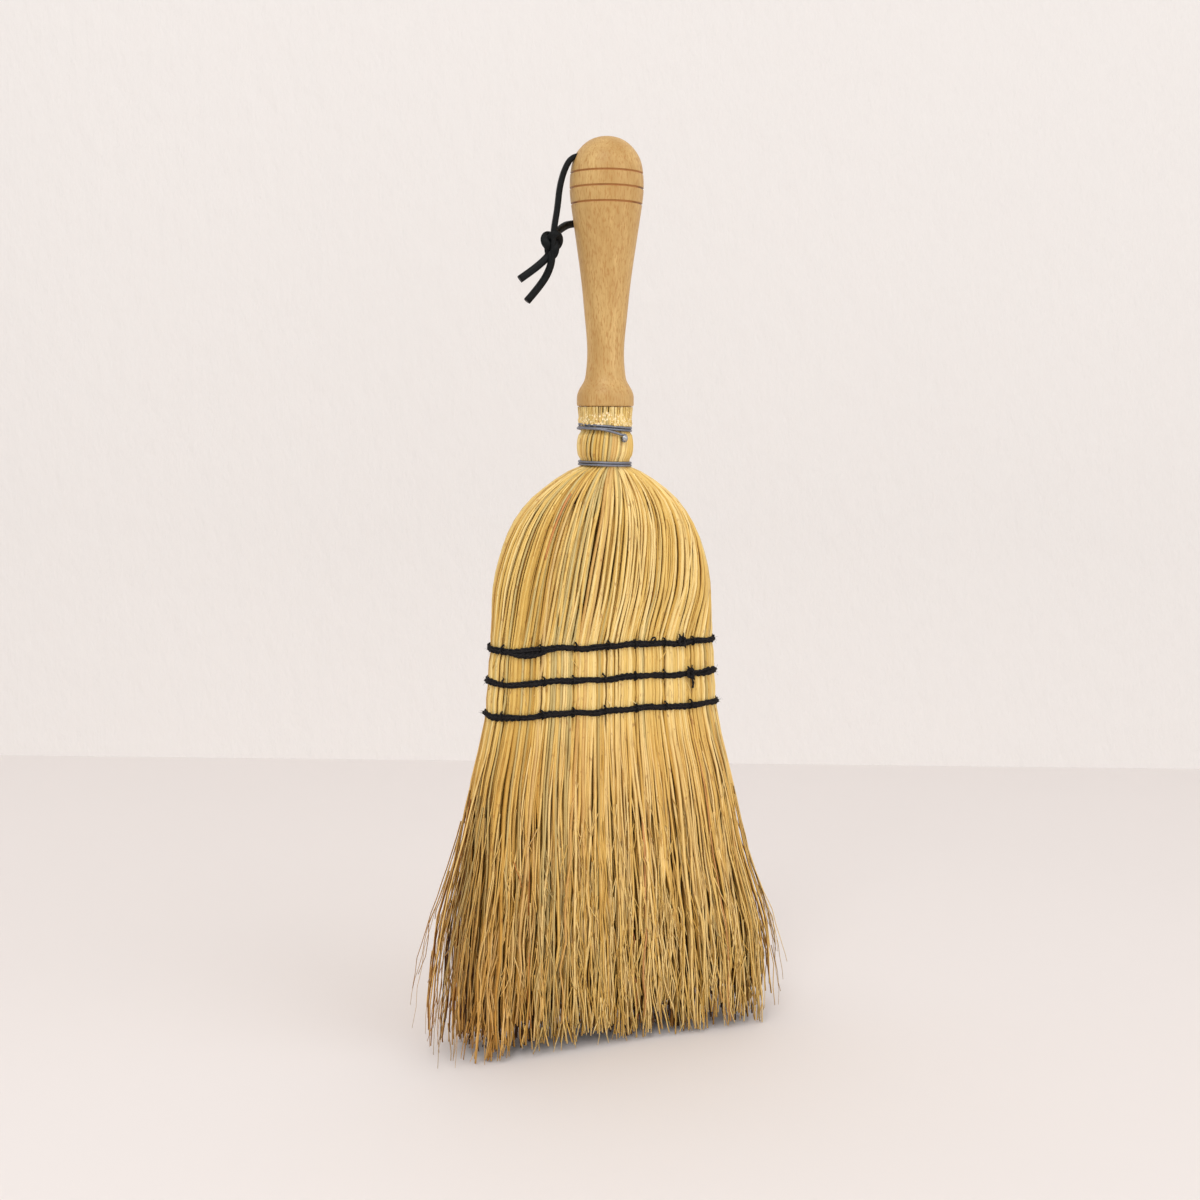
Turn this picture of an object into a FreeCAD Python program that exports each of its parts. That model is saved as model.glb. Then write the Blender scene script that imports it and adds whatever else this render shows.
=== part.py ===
import FreeCAD
import Part
import math
import os
from collections import namedtuple

# Hand broom: straw wired to a turned handle, fanned, sewn flat with three rows of twine.
# Lengths are millimetres. The broom stands on its straw with +Z up, X across the fan and Y through it.
# The front is at -Y, and the origin is on the floor under the middle of the tips.

Vec = FreeCAD.Vector

# Clearances that every fit uses
clearance = 0.3  # between straw, twine and wood
seat_gap = 0.15  # between a winding and what it is wound on
winding_gap = 0.5  # between the turns of a winding
nail_gap = 0.05  # round the nail's shank
overrun = 2.0  # how far a cutter goes past the wood

# Turned handle, measured from the foot of its collar or down from its top
handle_length = 122.0
swell_diameter = 33.8
swell_drop = 23.1
waist_diameter = 17.0
waist_height = 25.7
collar_diameter = 26.3
collar_band = 3.8
collar_round = 0.9
spigot_diameter = 12.6
spigot_taper = 2.0
groove_drop = 16.8
groove_pitch = 6.85
groove_count = 3
groove_radius = 0.5
hole_drop = 9.3
hole_turn = -8.0  # of the cross hole and the thong, about Z from X

# Outline of the handle, as (share of the drop, share of the radius) from one named size to the next
dome_shares = (
    (0.018, 0.22),
    (0.077, 0.45),
    (0.19, 0.66),
    (0.31, 0.80),
    (0.42, 0.885),
    (0.58, 0.955),
    (0.77, 0.988),
)
taper_shares = ((0.15, 0.865), (0.35, 0.61), (0.60, 0.314), (0.80, 0.14))
flare_up_shares = ((0.25, 0.025), (0.50, 0.14), (0.64, 0.29), (0.76, 0.62), (0.88, 0.90))

# Places on the straw: the collar above the floor, then each place from the one that carries it
head_height = 298.0
upper_wire_drop = 9.9  # below the collar
barrel_drop = 8.3  # below the upper wire
lower_wire_drop = 8.1  # below the barrel
top_row_drop = 110.2  # below the collar
shoulder_rise = 27.2  # above the top row
row_pitch = 15.15
row_count = 3

# Sections of the straw: round at the neck, then flat with round ends
neck_diameter = 24.0
wired_diameter = 22.6
barrel_diameter = 26.4
shoulder_width = 109.0
shoulder_depth = 28.0
top_row_width = 112.0
bottom_row_width = 118.0
sewn_depth = 22.5
tip_width = 183.0
tip_depth = 42.0

# Straw from the neck down to the shoulder: share of the drop, of the growth in width and in depth,
# of the two-layer lie, of its pitch that a stalk fills, and of the way from the spigot to the middle
fan_shares = (
    (0.05, 0.165, 0.15, 1.0, 1.08, 0.0),
    (0.14, 0.36, 0.40, 1.0, 0.80, 0.0),
    (0.28, 0.59, 0.75, 1.0, 0.78, 0.5),
    (0.48, 0.787, 1.0, 0.0, 0.86, 1.0),
    (0.72, 0.918, 1.0, 0.0, 0.86, 1.0),
    (1.0, 1.0, 1.0, 0.0, 0.86, 1.0),
)
neck_fill_share = 1.40
fan_fill_share = 0.86
spigot_past_share = 0.10  # of the same drop

# Straw from the bottom row down to the tips: share of the drop, of the growth in width and in depth
skirt_shares = ((0.22, 0.29, 0.30), (0.42, 0.54, 0.58), (0.70, 0.89, 0.90), (1.0, 1.0, 1.0))

# Single stalks: depth at the neck, in the fan and at the tips, and their ends
neck_stalk = 1.3
fan_stalk = 2.0
tip_stalk = 2.6
crown_share = 0.5  # width of a stalk's outer face, of its whole width
butt_step = 5.0  # how far the outer cut ends stop short of the inner ones
ragged_tip = 7.0
ragged_steps = 4
lock_stalks = 5
end_stalks = 13
end_corners = 8

# Sewing
twine_diameter = 1.5
column_count = 7
column_share = 0.95  # of the flat face between the outer stitch columns
binding_end_share = 0.8  # where a binding starts and ends on the back, of half the flat face

# Wire bands and the nail that holds the upper one
wire_diameter = 1.2
wire_start_angle = 75.0
wire_leave_angle = 226.0
nail_angle = 285.0
nail_drop = 4.5  # below the upper wire
nail_diameter = 1.4
nail_head_diameter = 2.9
nail_head_height = 1.0
nail_bite = 3.5

# Leather thong: its route from the middle of the cross hole, and the winding of its knot
thong_diameter = 2.4
thong_hole_run = 9.5
left_route = (
    (-9.5, 0, 0),
    (-17.6, 0, 0),
    (-20.8, 0, -6.0),
    (-22.2, 0.2, -14.0),
    (-23.4, -0.6, -24.0),
    (-25.4, -1.4, -33.8),
    (-25.9, -1.5, -44.3),
    (-26.6, -0.9, -50.3),
    (-30.4, 0, -57.8),
    (-37.4, 0.3, -65.7),
)
back_route = (
    (9.5, 0, 0),
    (18.0, 0, 0),
    (19.2, 7.4, -4.0),
    (14.6, 14.8, -10.0),
    (5.0, 19.4, -18.0),
    (-4.0, 18.8, -26.0),
    (-10.5, 14.9, -30.2),
    (-16.0, 9.6, -30.8),
    (-24.3, 2.1, -32.5),
    (-25.8, 1.5, -38.1),
    (-26.2, 1.4, -44.3),
    (-30.1, 1.1, -48.1),
    (-35.4, 0.9, -52.3),
    (-40.6, 0.8, -55.9),
)
knot_middle = (-25.8, 0, -39.5)
knot_turns = 2.25
arc_share = 0.45  # of the shorter run, for the arcs of a cord

# Sizes that follow from those above
top_height = head_height + handle_length
hole_height = top_height - hole_drop
hole_diameter = thong_diameter + 2 * clearance
wire_pitch = wire_diameter + winding_gap
twine_pitch = twine_diameter + winding_gap
wire_half_height = (wire_pitch + wire_diameter) / 2 + seat_gap
upper_wire_height = head_height - upper_wire_drop
barrel_height = upper_wire_height - barrel_drop
lower_wire_height = barrel_height - lower_wire_drop
nail_height = upper_wire_height - nail_drop
neck_foot = lower_wire_height - wire_half_height
top_row_height = head_height - top_row_drop
shoulder_height = top_row_height + shoulder_rise
fan_drop = neck_foot - shoulder_height
bottom_row_height = top_row_height - row_pitch * (row_count - 1)
stitch_bend = twine_diameter + clearance
stitch_rise = twine_pitch / 2 + stitch_bend
sewn_margin = stitch_rise + twine_diameter / 2 + clearance
stitch_room = twine_diameter / 2 + clearance
spigot_foot = neck_foot - spigot_past_share * fan_drop

Station = namedtuple("Station", "z width depth room layer fill stalk core")


def between(start, end, share):
    return start + (end - start) * share


def straw_stations():
    """Sections of the straw from the cut ends down to the tips."""
    rows = []
    neck = (
        (head_height - clearance, neck_diameter),
        (upper_wire_height + wire_half_height, wired_diameter),
        (upper_wire_height - wire_half_height, wired_diameter),
        (barrel_height, barrel_diameter),
        (lower_wire_height + wire_half_height, wired_diameter),
        (neck_foot, wired_diameter),
    )
    for z, size in neck:
        rows.append(Station(z, size, size, clearance, 1.0, neck_fill_share, neck_stalk, 0.0))
    for drop, wide, deep, layer, fill, core in fan_shares:
        z = neck_foot - drop * fan_drop
        width = between(wired_diameter, shoulder_width, wide)
        depth = between(wired_diameter, shoulder_depth, deep)
        stalk_depth = between(neck_stalk, fan_stalk, wide)
        rows.append(Station(z, width, depth, clearance, layer, fill, stalk_depth, core))
    sewn_top = top_row_height + sewn_margin
    sewn_foot = bottom_row_height - sewn_margin
    for z, width in ((sewn_top, top_row_width), (sewn_foot, bottom_row_width)):
        rows.append(Station(z, width, sewn_depth, stitch_room, 0.0, fan_fill_share, fan_stalk, 1.0))
    for drop, wide, deep in skirt_shares:
        z = sewn_foot * (1 - drop)
        width = between(bottom_row_width, tip_width, wide)
        depth = between(sewn_depth, tip_depth, deep)
        stalk_depth = between(fan_stalk, tip_stalk, wide)
        rows.append(Station(z, width, depth, clearance / 2, 0.0, fan_fill_share, stalk_depth, 1.0))
    return rows


STATIONS = straw_stations()


def station_at(z):
    """The section at a height, straight between its two neighbours."""
    for upper, lower in zip(STATIONS, STATIONS[1:]):
        if lower.z <= z <= upper.z:
            share = (upper.z - z) / (upper.z - lower.z)
            return Station(*(between(a, b, share) for a, b in zip(upper, lower)))
    raise ValueError("no straw at this height")


def perimeter(width, depth):
    return 2 * (width - depth) + math.pi * depth


def rim(width, depth, share, inset):
    """X and Y at a share of the way round a round-ended section, from the middle of its front."""
    radius = depth / 2
    flat = (width - depth) / 2
    end = math.pi * radius
    way = (share % 1) * perimeter(width, depth)
    if way <= flat:
        middle, angle = way, -math.pi / 2
    elif way <= flat + end:
        middle, angle = flat, (way - flat) / radius - math.pi / 2
    elif way <= 3 * flat + end:
        middle, angle = 2 * flat + end - way, math.pi / 2
    elif way <= 3 * flat + 2 * end:
        middle, angle = -flat, (way - 3 * flat - end) / radius + math.pi / 2
    else:
        middle, angle = way - 4 * flat - 2 * end, -math.pi / 2
    return middle + (radius - inset) * math.cos(angle), (radius - inset) * math.sin(angle)


def polygon(corners, z):
    points = [Vec(x, y, z) for x, y in corners]
    return Part.makePolygon(points + points[:1])


# Paths of cords and windings


def arc_from(start, direction, end):
    """The arc, or straight line, that leaves one point in a direction and ends at another."""
    chord = end - start
    along = Vec(chord).normalize()
    side = direction - along * direction.dot(along)
    if side.Length < 1e-6:
        return Part.LineSegment(start, end)
    swing = math.atan2(side.Length, direction.dot(along))
    middle = (start + end) / 2 + side.normalize() * (chord.Length / 2 * math.tan(swing / 2))
    return Part.Arc(start, middle, end)


def biarc(start, start_way, end, end_way):
    """Two arcs that meet smoothly between two points with given directions."""
    chord = end - start
    ways = start_way + end_way
    bend = 2 * (1 - start_way.dot(end_way))
    lean = chord.dot(ways)
    if bend < 1e-9:
        reach = chord.dot(chord) / (2 * lean)
    else:
        reach = (math.sqrt(lean * lean + bend * chord.dot(chord)) - lean) / bend
    middle = (start + start_way * reach + end - end_way * reach) / 2
    first = arc_from(start, start_way, middle)
    last = arc_from(end, end_way * -1, middle)
    if isinstance(last, Part.LineSegment):
        return [first, Part.LineSegment(middle, end)]
    turned = last.value((last.FirstParameter + last.LastParameter) / 2)
    return [first, Part.Arc(middle, turned, end)]


def winding_path(stops, lead):
    """Edges through points with directions, with a straight lead at both ends."""
    first, first_way = stops[0]
    last, last_way = stops[-1]
    curves = [Part.LineSegment(first - first_way * lead, first)]
    for (start, start_way), (end, end_way) in zip(stops, stops[1:]):
        curves.extend(biarc(start, start_way, end, end_way))
    curves.append(Part.LineSegment(last, last + last_way * lead))
    return [curve.toShape() for curve in curves]


def cord_path(points, radius=None):
    """Straight runs joined by tangent arcs, as large as the runs allow or of one radius."""
    edges = []
    radii = []
    here = points[0]
    for before, corner, after in zip(points, points[1:], points[2:]):
        back = before - corner
        ahead = after - corner
        half_turn = (math.pi - back.getAngle(ahead)) / 2
        reach = arc_share * min(back.Length, ahead.Length)
        if radius:
            reach = radius * math.tan(half_turn)
        size = reach / math.tan(half_turn)
        radii.append(size)
        back.normalize()
        ahead.normalize()
        inward = (back + ahead).normalize()
        start = corner + back * reach
        end = corner + ahead * reach
        middle = corner + inward * (size / math.cos(half_turn) - size)
        edges.append(Part.LineSegment(here, start).toShape())
        edges.append(Part.Arc(start, middle, end).toShape())
        here = end
    edges.append(Part.LineSegment(here, points[-1]).toShape())
    return edges, radii


def tube(name, edges, diameter):
    """A round tube along a path; says how its volume compares with section times length."""
    wire = Part.Wire(edges)
    start = edges[0].valueAt(edges[0].FirstParameter)
    way = edges[0].tangentAt(edges[0].FirstParameter)
    ring = Part.Wire(Part.makeCircle(diameter / 2, start, way))
    solid = wire.makePipeShell([ring], True, False)
    share = solid.Volume / (math.pi * diameter**2 / 4 * wire.Length)
    print(f"{name}: length {wire.Length:.1f}, volume {share:.4f} of section times length")
    return solid


def say_gap(name, edges, diameter, step):
    """Prints the least gap of a winding to itself, measured on points along it."""
    wire = Part.Wire(edges)
    points = []
    for edge in edges:
        count = max(2, int(edge.Length / step))
        points.extend(edge.discretize(count)[:-1])
    skip = int(math.pi * diameter / step)
    least = wire.Length
    for i, one in enumerate(points):
        for other in points[i + skip :]:
            least = min(least, one.distanceToPoint(other))
    print(f"{name}: least gap to itself {least - diameter:.2f}")


# Handle


def handle_outline():
    """Outline of the turned wood above its collar band, from the top of the dome down."""
    swell = swell_diameter / 2
    waist = waist_diameter / 2
    collar = collar_diameter / 2
    swell_height = top_height - swell_drop
    waist_level = head_height + waist_height
    collar_level = head_height + collar_band
    points = [Vec(0, 0, top_height)]
    for drop, wide in dome_shares:
        points.append(Vec(swell * wide, 0, between(top_height, swell_height, drop)))
    points.append(Vec(swell, 0, swell_height))
    for drop, wide in taper_shares:
        points.append(Vec(between(waist, swell, wide), 0, between(swell_height, waist_level, drop)))
    points.append(Vec(waist, 0, waist_level))
    for drop, wide in flare_up_shares:
        points.append(Vec(between(waist, collar, wide), 0, between(waist_level, collar_level, drop)))
    points.append(Vec(collar, 0, collar_level))
    outline = Part.BSplineCurve()
    outline.interpolate(points)
    return outline


def radius_at(curve, z):
    low, high = curve.FirstParameter, curve.LastParameter
    for _ in range(50):
        middle = (low + high) / 2
        if curve.value(middle).z > z:
            low = middle
        else:
            high = middle
    return curve.value(low).x


def handle():
    outline = handle_outline()
    collar = collar_diameter / 2
    spigot = spigot_diameter / 2
    edge_slope = collar_round * (1 - math.sqrt(0.5))
    corners = [
        Vec(collar, 0, head_height + collar_band),
        Vec(collar, 0, head_height + collar_round),
        Vec(collar - edge_slope, 0, head_height + edge_slope),
        Vec(collar - collar_round, 0, head_height),
        Vec(spigot, 0, head_height),
        Vec(spigot, 0, spigot_foot + spigot_taper),
        Vec(spigot - spigot_taper, 0, spigot_foot),
        Vec(0, 0, spigot_foot),
        Vec(0, 0, top_height),
    ]
    edges = [outline.toShape(), Part.LineSegment(corners[0], corners[1]).toShape()]
    edges.append(Part.Arc(corners[1], corners[2], corners[3]).toShape())
    for start, end in zip(corners[3:], corners[4:]):
        edges.append(Part.LineSegment(start, end).toShape())
    wood = Part.Face(Part.Wire(edges)).revolve(Vec(0, 0, 0), Vec(0, 0, 1), 360)
    for i in range(groove_count):
        z = top_height - groove_drop - i * groove_pitch
        wood = wood.cut(Part.makeTorus(radius_at(outline, z), groove_radius, Vec(0, 0, z), Vec(0, 0, 1)))
    reach = swell_diameter / 2 + overrun
    hole = Part.makeCylinder(hole_diameter / 2, 2 * reach, Vec(-reach, 0, hole_height), Vec(1, 0, 0))
    return wood.cut(turned_with_hole(hole)).cut(nail_shank(nail_diameter / 2 + nail_gap))


# Straw


def column_shares():
    """Places of the stitch columns, as shares of the way round from the middle of the front."""
    half_flat = (bottom_row_width - sewn_depth) / 2 * column_share
    round_length = perimeter(bottom_row_width, sewn_depth)
    step = 2 * half_flat / (column_count - 1)
    return [(i * step - half_flat) / round_length for i in range(column_count)]


def locks():
    """Each lock's name and the columns on its two sides, as shares of the way round."""
    columns = column_shares()
    found = []
    for i, (left, right) in enumerate(zip(columns, columns[1:]), 1):
        found.append((f"front_{i}", left, right))
        found.append((f"back_{i}", 0.5 - right, 0.5 - left))
    edge = columns[-1]
    found.append(("right_end", edge, 0.5 - edge))
    found.append(("left_end", 0.5 + edge, 1 - edge))
    return found


def sides(station, start, end):
    """A lock's sides at one height, with the room that its columns need there."""
    room = station.room / perimeter(station.width, station.depth)
    return start + room, end - room


def core_corners(station, start, end):
    """Corners of the inner straw of a lock on the front or the back."""
    inset = station.stalk + clearance + station.layer * (station.stalk + clearance)
    outer = [rim(station.width, station.depth, share, inset) for share in sides(station, start, end)]
    spigot = (spigot_diameter / 2 + clearance) / math.cos(math.pi * (end - start))
    inner = []
    for x, y in outer:
        shrink = spigot / math.hypot(x, y)
        middle_y = math.copysign(clearance / 2, y)
        inner.append((between(x * shrink, x, station.core), between(y * shrink, middle_y, station.core)))
    return [outer[0], outer[1], inner[1], inner[0]]


def end_core_corners(station, start, end):
    """Corners of the inner straw of a lock at an end of the fan."""
    inset = station.stalk + clearance + station.layer * (station.stalk + clearance)
    start, end = sides(station, start, end)
    corners = []
    for i in range(end_corners):
        share = between(start, end, i / (end_corners - 1))
        corners.append(rim(station.width, station.depth, share, inset))
    return corners


def core(name, start, end):
    corners = end_core_corners if name.endswith("end") else core_corners
    return Part.makeLoft([polygon(corners(s, start, end), s.z) for s in STATIONS], True, True)


def stalk_stations(outer, rise):
    """The straw's sections from one stalk's cut end down to its tip."""
    rows = list(STATIONS)
    if outer:
        rows[0] = station_at(rows[0].z - butt_step)
    rows[-1] = station_at(rise)
    return rows


def stalk(start, end, place, count, rise):
    """One of the outer stalks of a lock; every second one lies deeper at the neck."""
    outer = place % 2 == 0
    sections = []
    for s in stalk_stations(outer, rise):
        inset = 0 if outer else s.layer * (s.stalk + clearance)
        first, last = sides(s, start, end)
        pitch = (last - first) / count
        middle = first + (place + 0.5) * pitch
        reach = pitch / 2 * s.fill
        corners = [rim(s.width, s.depth, middle + side * reach, inset + s.stalk) for side in (-1, 1)]
        corners += [rim(s.width, s.depth, middle + side * reach * crown_share, inset) for side in (1, -1)]
        sections.append(polygon(corners, s.z))
    return Part.makeLoft(sections, True, True)


def lock_cover(name, start, end):
    count = end_stalks if name.endswith("end") else lock_stalks
    rises = [ragged_tip * ((3 * i) % ragged_steps + 1) / ragged_steps for i in range(count)]
    return [stalk(start, end, i, count, rise) for i, rise in enumerate(rises)]


# Wire bands and nail


def on_neck(angle, radius, z):
    """A point round the neck and the direction in which a winding passes it."""
    turn = math.radians(angle)
    point = Vec(radius * math.cos(turn), radius * math.sin(turn), z)
    return point, Vec(-math.sin(turn), math.cos(turn), 0)


def band_stops(z):
    """One turn, a step down behind, and most of a second turn, in quarters."""
    radius = (wired_diameter + wire_diameter) / 2 + seat_gap
    stops = []
    for quarter in range(8):
        level = z + wire_pitch / 2 if quarter < 4 else z - wire_pitch / 2
        stops.append(on_neck(wire_start_angle + 90 * quarter, radius, level))
    return stops, radius


def lower_wire():
    stops, _ = band_stops(lower_wire_height)
    edges = winding_path(stops, wire_diameter)
    say_gap("lower_wire_band", edges, wire_diameter, wire_diameter / 4)
    return tube("lower_wire_band", edges, wire_diameter)


def nail_seat():
    """Where the wire's hook goes round the nail: radius of the hook and its distance from the axis."""
    hook = (nail_diameter + wire_diameter) / 2 + seat_gap
    straw = station_at(nail_height - hook - wire_diameter / 2).width / 2
    return hook, straw + seat_gap + wire_diameter / 2


def upper_wire():
    """The upper band, whose second turn leaves for the nail and hooks round it."""
    stops, radius = band_stops(upper_wire_height)
    turns = [stop for i, stop in enumerate(stops) if wire_start_angle + 90 * i < wire_leave_angle + 360]
    turns.append(on_neck(wire_leave_angle, radius, upper_wire_height - wire_pitch / 2))
    hook, distance = nail_seat()
    middle, along = on_neck(nail_angle, distance, nail_height)
    up = Vec(0, 0, 1)
    turns.append((middle + up * hook, along))
    turns.append((middle + along * hook, up * -1))
    turns.append((middle - up * hook, along * -1))
    edges = winding_path(turns, wire_diameter)
    say_gap("upper_wire_band", edges, wire_diameter, wire_diameter / 4)
    return tube("upper_wire_band", edges, wire_diameter)


def nail_frame():
    """Direction of the nail, and where its shank starts and its head sits along it."""
    _, distance = nail_seat()
    outward, _ = on_neck(nail_angle, 1, 0)
    return outward, spigot_diameter / 2 - nail_bite, distance + wire_diameter / 2 + seat_gap


def nail_shank(radius):
    """The hole that the nail's shank goes into, from inside the spigot out to the head."""
    outward, start, head = nail_frame()
    return Part.makeCylinder(radius, head - start, outward * start + Vec(0, 0, nail_height), outward)


def nail():
    outward, start, head = nail_frame()
    shank = nail_diameter / 2
    half = nail_head_diameter / 2
    crown = head + nail_head_height
    ball = (half**2 + nail_head_height**2) / (2 * nail_head_height)
    swing = math.asin(half / ball) / 2
    bulge = Vec(ball * math.sin(swing), 0, crown - ball * (1 - math.cos(swing)))
    rim_point, top = Vec(half, 0, head), Vec(0, 0, crown)
    dome = Part.Arc(rim_point, bulge, top).toShape()
    outline = [top, Vec(0, 0, start), Vec(shank, 0, start), Vec(shank, 0, head), rim_point]
    turned = Part.Face(Part.Wire([dome] + Part.makePolygon(outline).Edges))
    metal = turned.revolve(Vec(0, 0, 0), Vec(0, 0, 1), 360)
    metal.Placement = FreeCAD.Placement(Vec(0, 0, nail_height), FreeCAD.Rotation(Vec(0, 0, 1), outward))
    return metal


# Sewing


def binding(name, z):
    """Twine laid nearly twice round the sewn fan, with its step and both ends on the back."""
    section = station_at(z)
    flat = (section.width - section.depth) / 2
    radius = (section.depth + twine_diameter) / 2 + seat_gap
    edge = binding_end_share * flat
    left, right = Vec(-1, 0, 0), Vec(1, 0, 0)
    stops = []
    for turn, level in enumerate((z + twine_pitch / 2, z - twine_pitch / 2)):
        if turn == 0:
            stops.append((Vec(-edge, radius, level), left))
        stops.append((Vec(-flat, radius, level), left))
        stops.append((Vec(-flat - radius, 0, level), Vec(0, -1, 0)))
        stops.append((Vec(-flat, -radius, level), right))
        stops.append((Vec(flat, -radius, level), right))
        stops.append((Vec(flat + radius, 0, level), Vec(0, 1, 0)))
        stops.append((Vec(flat, radius, level), left))
    stops.append((Vec(edge, radius, z - twine_pitch / 2), left))
    edges = winding_path(stops, twine_diameter)
    say_gap(name, edges, twine_diameter, twine_diameter / 2)
    return tube(name, edges, twine_diameter)


def stitching(name, z):
    """Twine sewn through the fan: over the binding in front at each column, and on behind to the next."""
    out = station_at(z).depth / 2 + seat_gap + twine_diameter / 2 + stitch_bend
    low, high = z - stitch_rise, z + stitch_rise
    low_length, high_length = (perimeter(station_at(level).width, sewn_depth) for level in (low, high))
    columns = column_shares()
    points = [Vec(columns[0] * low_length, 0, low)]
    for i, share in enumerate(columns):
        points.append(Vec(share * low_length, -out, low))
        points.append(Vec(share * high_length, -out, high))
        if i + 1 < len(columns):
            points.append(Vec(share * high_length, out, high))
            points.append(Vec(columns[i + 1] * low_length, out, low))
    points.append(Vec(columns[-1] * high_length, 0, high))
    edges, _ = cord_path(points, stitch_bend)
    return tube(name, edges, twine_diameter)


# Thong


def turned_with_hole(shape):
    """A shape drawn along X, turned to the cross hole's direction."""
    shape.rotate(Vec(0, 0, 0), Vec(0, 0, 1), hole_turn)
    return shape


def thong_strand(name, route):
    middle = Vec(0, 0, hole_height)
    edges, radii = cord_path([Vec(*point) + middle for point in route])
    print(f"{name}: radii " + ", ".join(f"{size:.1f}" for size in radii))
    return turned_with_hole(tube(name, edges, thong_diameter))


def thong_in_hole():
    base = Vec(-thong_hole_run, 0, hole_height)
    return turned_with_hole(Part.makeCylinder(thong_diameter / 2, 2 * thong_hole_run, base, Vec(1, 0, 0)))


def thong_knot():
    """The thong's turns round both strands."""
    pitch = thong_diameter + winding_gap
    radius = 1.5 * thong_diameter + 2 * clearance
    middle = Vec(*knot_middle) + Vec(0, 0, hole_height)
    slope = pitch / (2 * math.pi * radius)
    stops = []
    for quarter in range(int(4 * knot_turns) + 1):
        turn = math.pi / 2 * quarter
        drop = pitch * (knot_turns / 2 - quarter / 4)
        point = Vec(radius * math.cos(turn), radius * math.sin(turn), drop)
        stops.append((middle + point, Vec(-math.sin(turn), math.cos(turn), -slope).normalize()))
    edges = winding_path(stops, thong_diameter)
    say_gap("thong_knot", edges, thong_diameter, thong_diameter / 4)
    return turned_with_hole(tube("thong_knot", edges, thong_diameter))


def save(name, shape):
    shape.exportStep(os.path.join("parts", f"{name}.step"))


def save_straw():
    hole = nail_shank(nail_diameter / 2 + nail_gap)
    for name, start, end in locks():
        solids = [core(name, start, end)] + lock_cover(name, start, end)
        pierced = [s.cut(hole) if s.BoundBox.intersect(hole.BoundBox) else s for s in solids]
        save(f"straw_core_{name}", pierced[0])
        save(f"straw_stalks_{name}", Part.makeCompound([one for s in pierced[1:] for one in s.Solids]))


def main():
    os.makedirs("parts", exist_ok=True)
    save("handle", handle())
    save_straw()
    save("upper_wire_band", upper_wire())
    save("lower_wire_band", lower_wire())
    save("wire_nail", nail())
    for row in range(row_count):
        z = top_row_height - row * row_pitch
        save(f"row_{row + 1}_binding", binding(f"row_{row + 1}_binding", z))
        save(f"row_{row + 1}_stitching", stitching(f"row_{row + 1}_stitching", z))
    save("thong_in_hole", thong_in_hole())
    save("thong_left_strand", thong_strand("thong_left_strand", left_route))
    save("thong_back_strand", thong_strand("thong_back_strand", back_route))
    save("thong_knot", thong_knot())


main()
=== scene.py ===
"""Looks of a hand broom: wood, straw, wire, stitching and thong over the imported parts."""

import math

import bpy
import numpy as np
from bpy.props import FloatProperty, FloatVectorProperty, IntProperty, PointerProperty
from mathutils import Matrix, Vector


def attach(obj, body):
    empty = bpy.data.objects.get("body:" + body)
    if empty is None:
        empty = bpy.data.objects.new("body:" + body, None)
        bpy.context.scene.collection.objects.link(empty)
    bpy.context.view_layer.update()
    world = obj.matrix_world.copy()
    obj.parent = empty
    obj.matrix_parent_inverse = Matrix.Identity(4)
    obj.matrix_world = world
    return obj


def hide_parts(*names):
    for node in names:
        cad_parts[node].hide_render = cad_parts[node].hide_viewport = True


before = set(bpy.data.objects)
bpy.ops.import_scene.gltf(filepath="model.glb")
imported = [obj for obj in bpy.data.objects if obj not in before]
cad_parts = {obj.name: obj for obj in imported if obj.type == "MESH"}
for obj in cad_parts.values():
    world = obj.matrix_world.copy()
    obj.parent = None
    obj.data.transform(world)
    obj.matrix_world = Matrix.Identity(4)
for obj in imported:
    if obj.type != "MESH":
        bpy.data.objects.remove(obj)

bl_info = {
    "name": "Hand broom looks",
    "version": (1, 0, 0),
    "blender": (4, 5, 0),
    "location": "View3D > Sidebar > Broom",
    "description": "Models the straw, wire, stitching and thong of a hand broom and its finishes",
    "category": "Object",
}

MM = 0.001
TURN = 2 * math.pi
ZONES = ("front", "right_end", "back", "left_end")

# The thong's routes from the middle of the cross hole, in millimetres.
LEFT_ROUTE = (
    (0, 0, 0), (-9.5, 0, 0), (-16.4, 0, -0.3), (-19.9, 0, -6.0), (-22.2, 0.2, -14.0), (-23.4, -0.6, -24.0),
    (-25.4, -1.4, -33.8), (-25.9, -1.5, -44.3), (-26.6, -0.9, -50.3), (-30.4, 0, -57.8), (-37.4, 0.3, -65.7),
)
BACK_ROUTE = (
    (0, 0, 0), (9.5, 0, 0), (15.2, 1.4, -0.4), (16.2, 6.6, -3.0), (13.2, 13.0, -9.0), (5.0, 18.4, -18.0),
    (-4.0, 18.0, -26.0), (-10.5, 14.9, -28.6), (-16.5, 9.4, -29.8), (-23.0, 2.8, -34.2), (-25.8, 1.5, -38.6),
    (-26.2, 1.4, -44.3), (-30.1, 1.1, -48.1), (-35.4, 0.9, -52.3), (-40.6, 0.8, -55.9),
)

# The straw's sections from the neck down to the shoulder, and from the bottom row down to the tips:
# share of the drop, of the growth in width and of the growth in depth.
FAN_SHARES = (
    (0.05, 0.165, 0.15), (0.14, 0.36, 0.40), (0.28, 0.59, 0.75), (0.48, 0.787, 1.0), (0.72, 0.918, 1.0),
    (1.0, 1.0, 1.0),
)
SKIRT_SHARES = ((0.22, 0.29, 0.30), (0.42, 0.54, 0.58), (0.70, 0.89, 0.90), (1.0, 1.0, 1.0))

# The cut ends under the collar, tier by tier: the drop of their tops below the collar, and their inset.
STUB_TIERS = (
    (0.0070, -0.0008), (0.0054, -0.0006), (0.0038, -0.0004), (0.0022, -0.0002), (0.0001, -0.0003),
)

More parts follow.
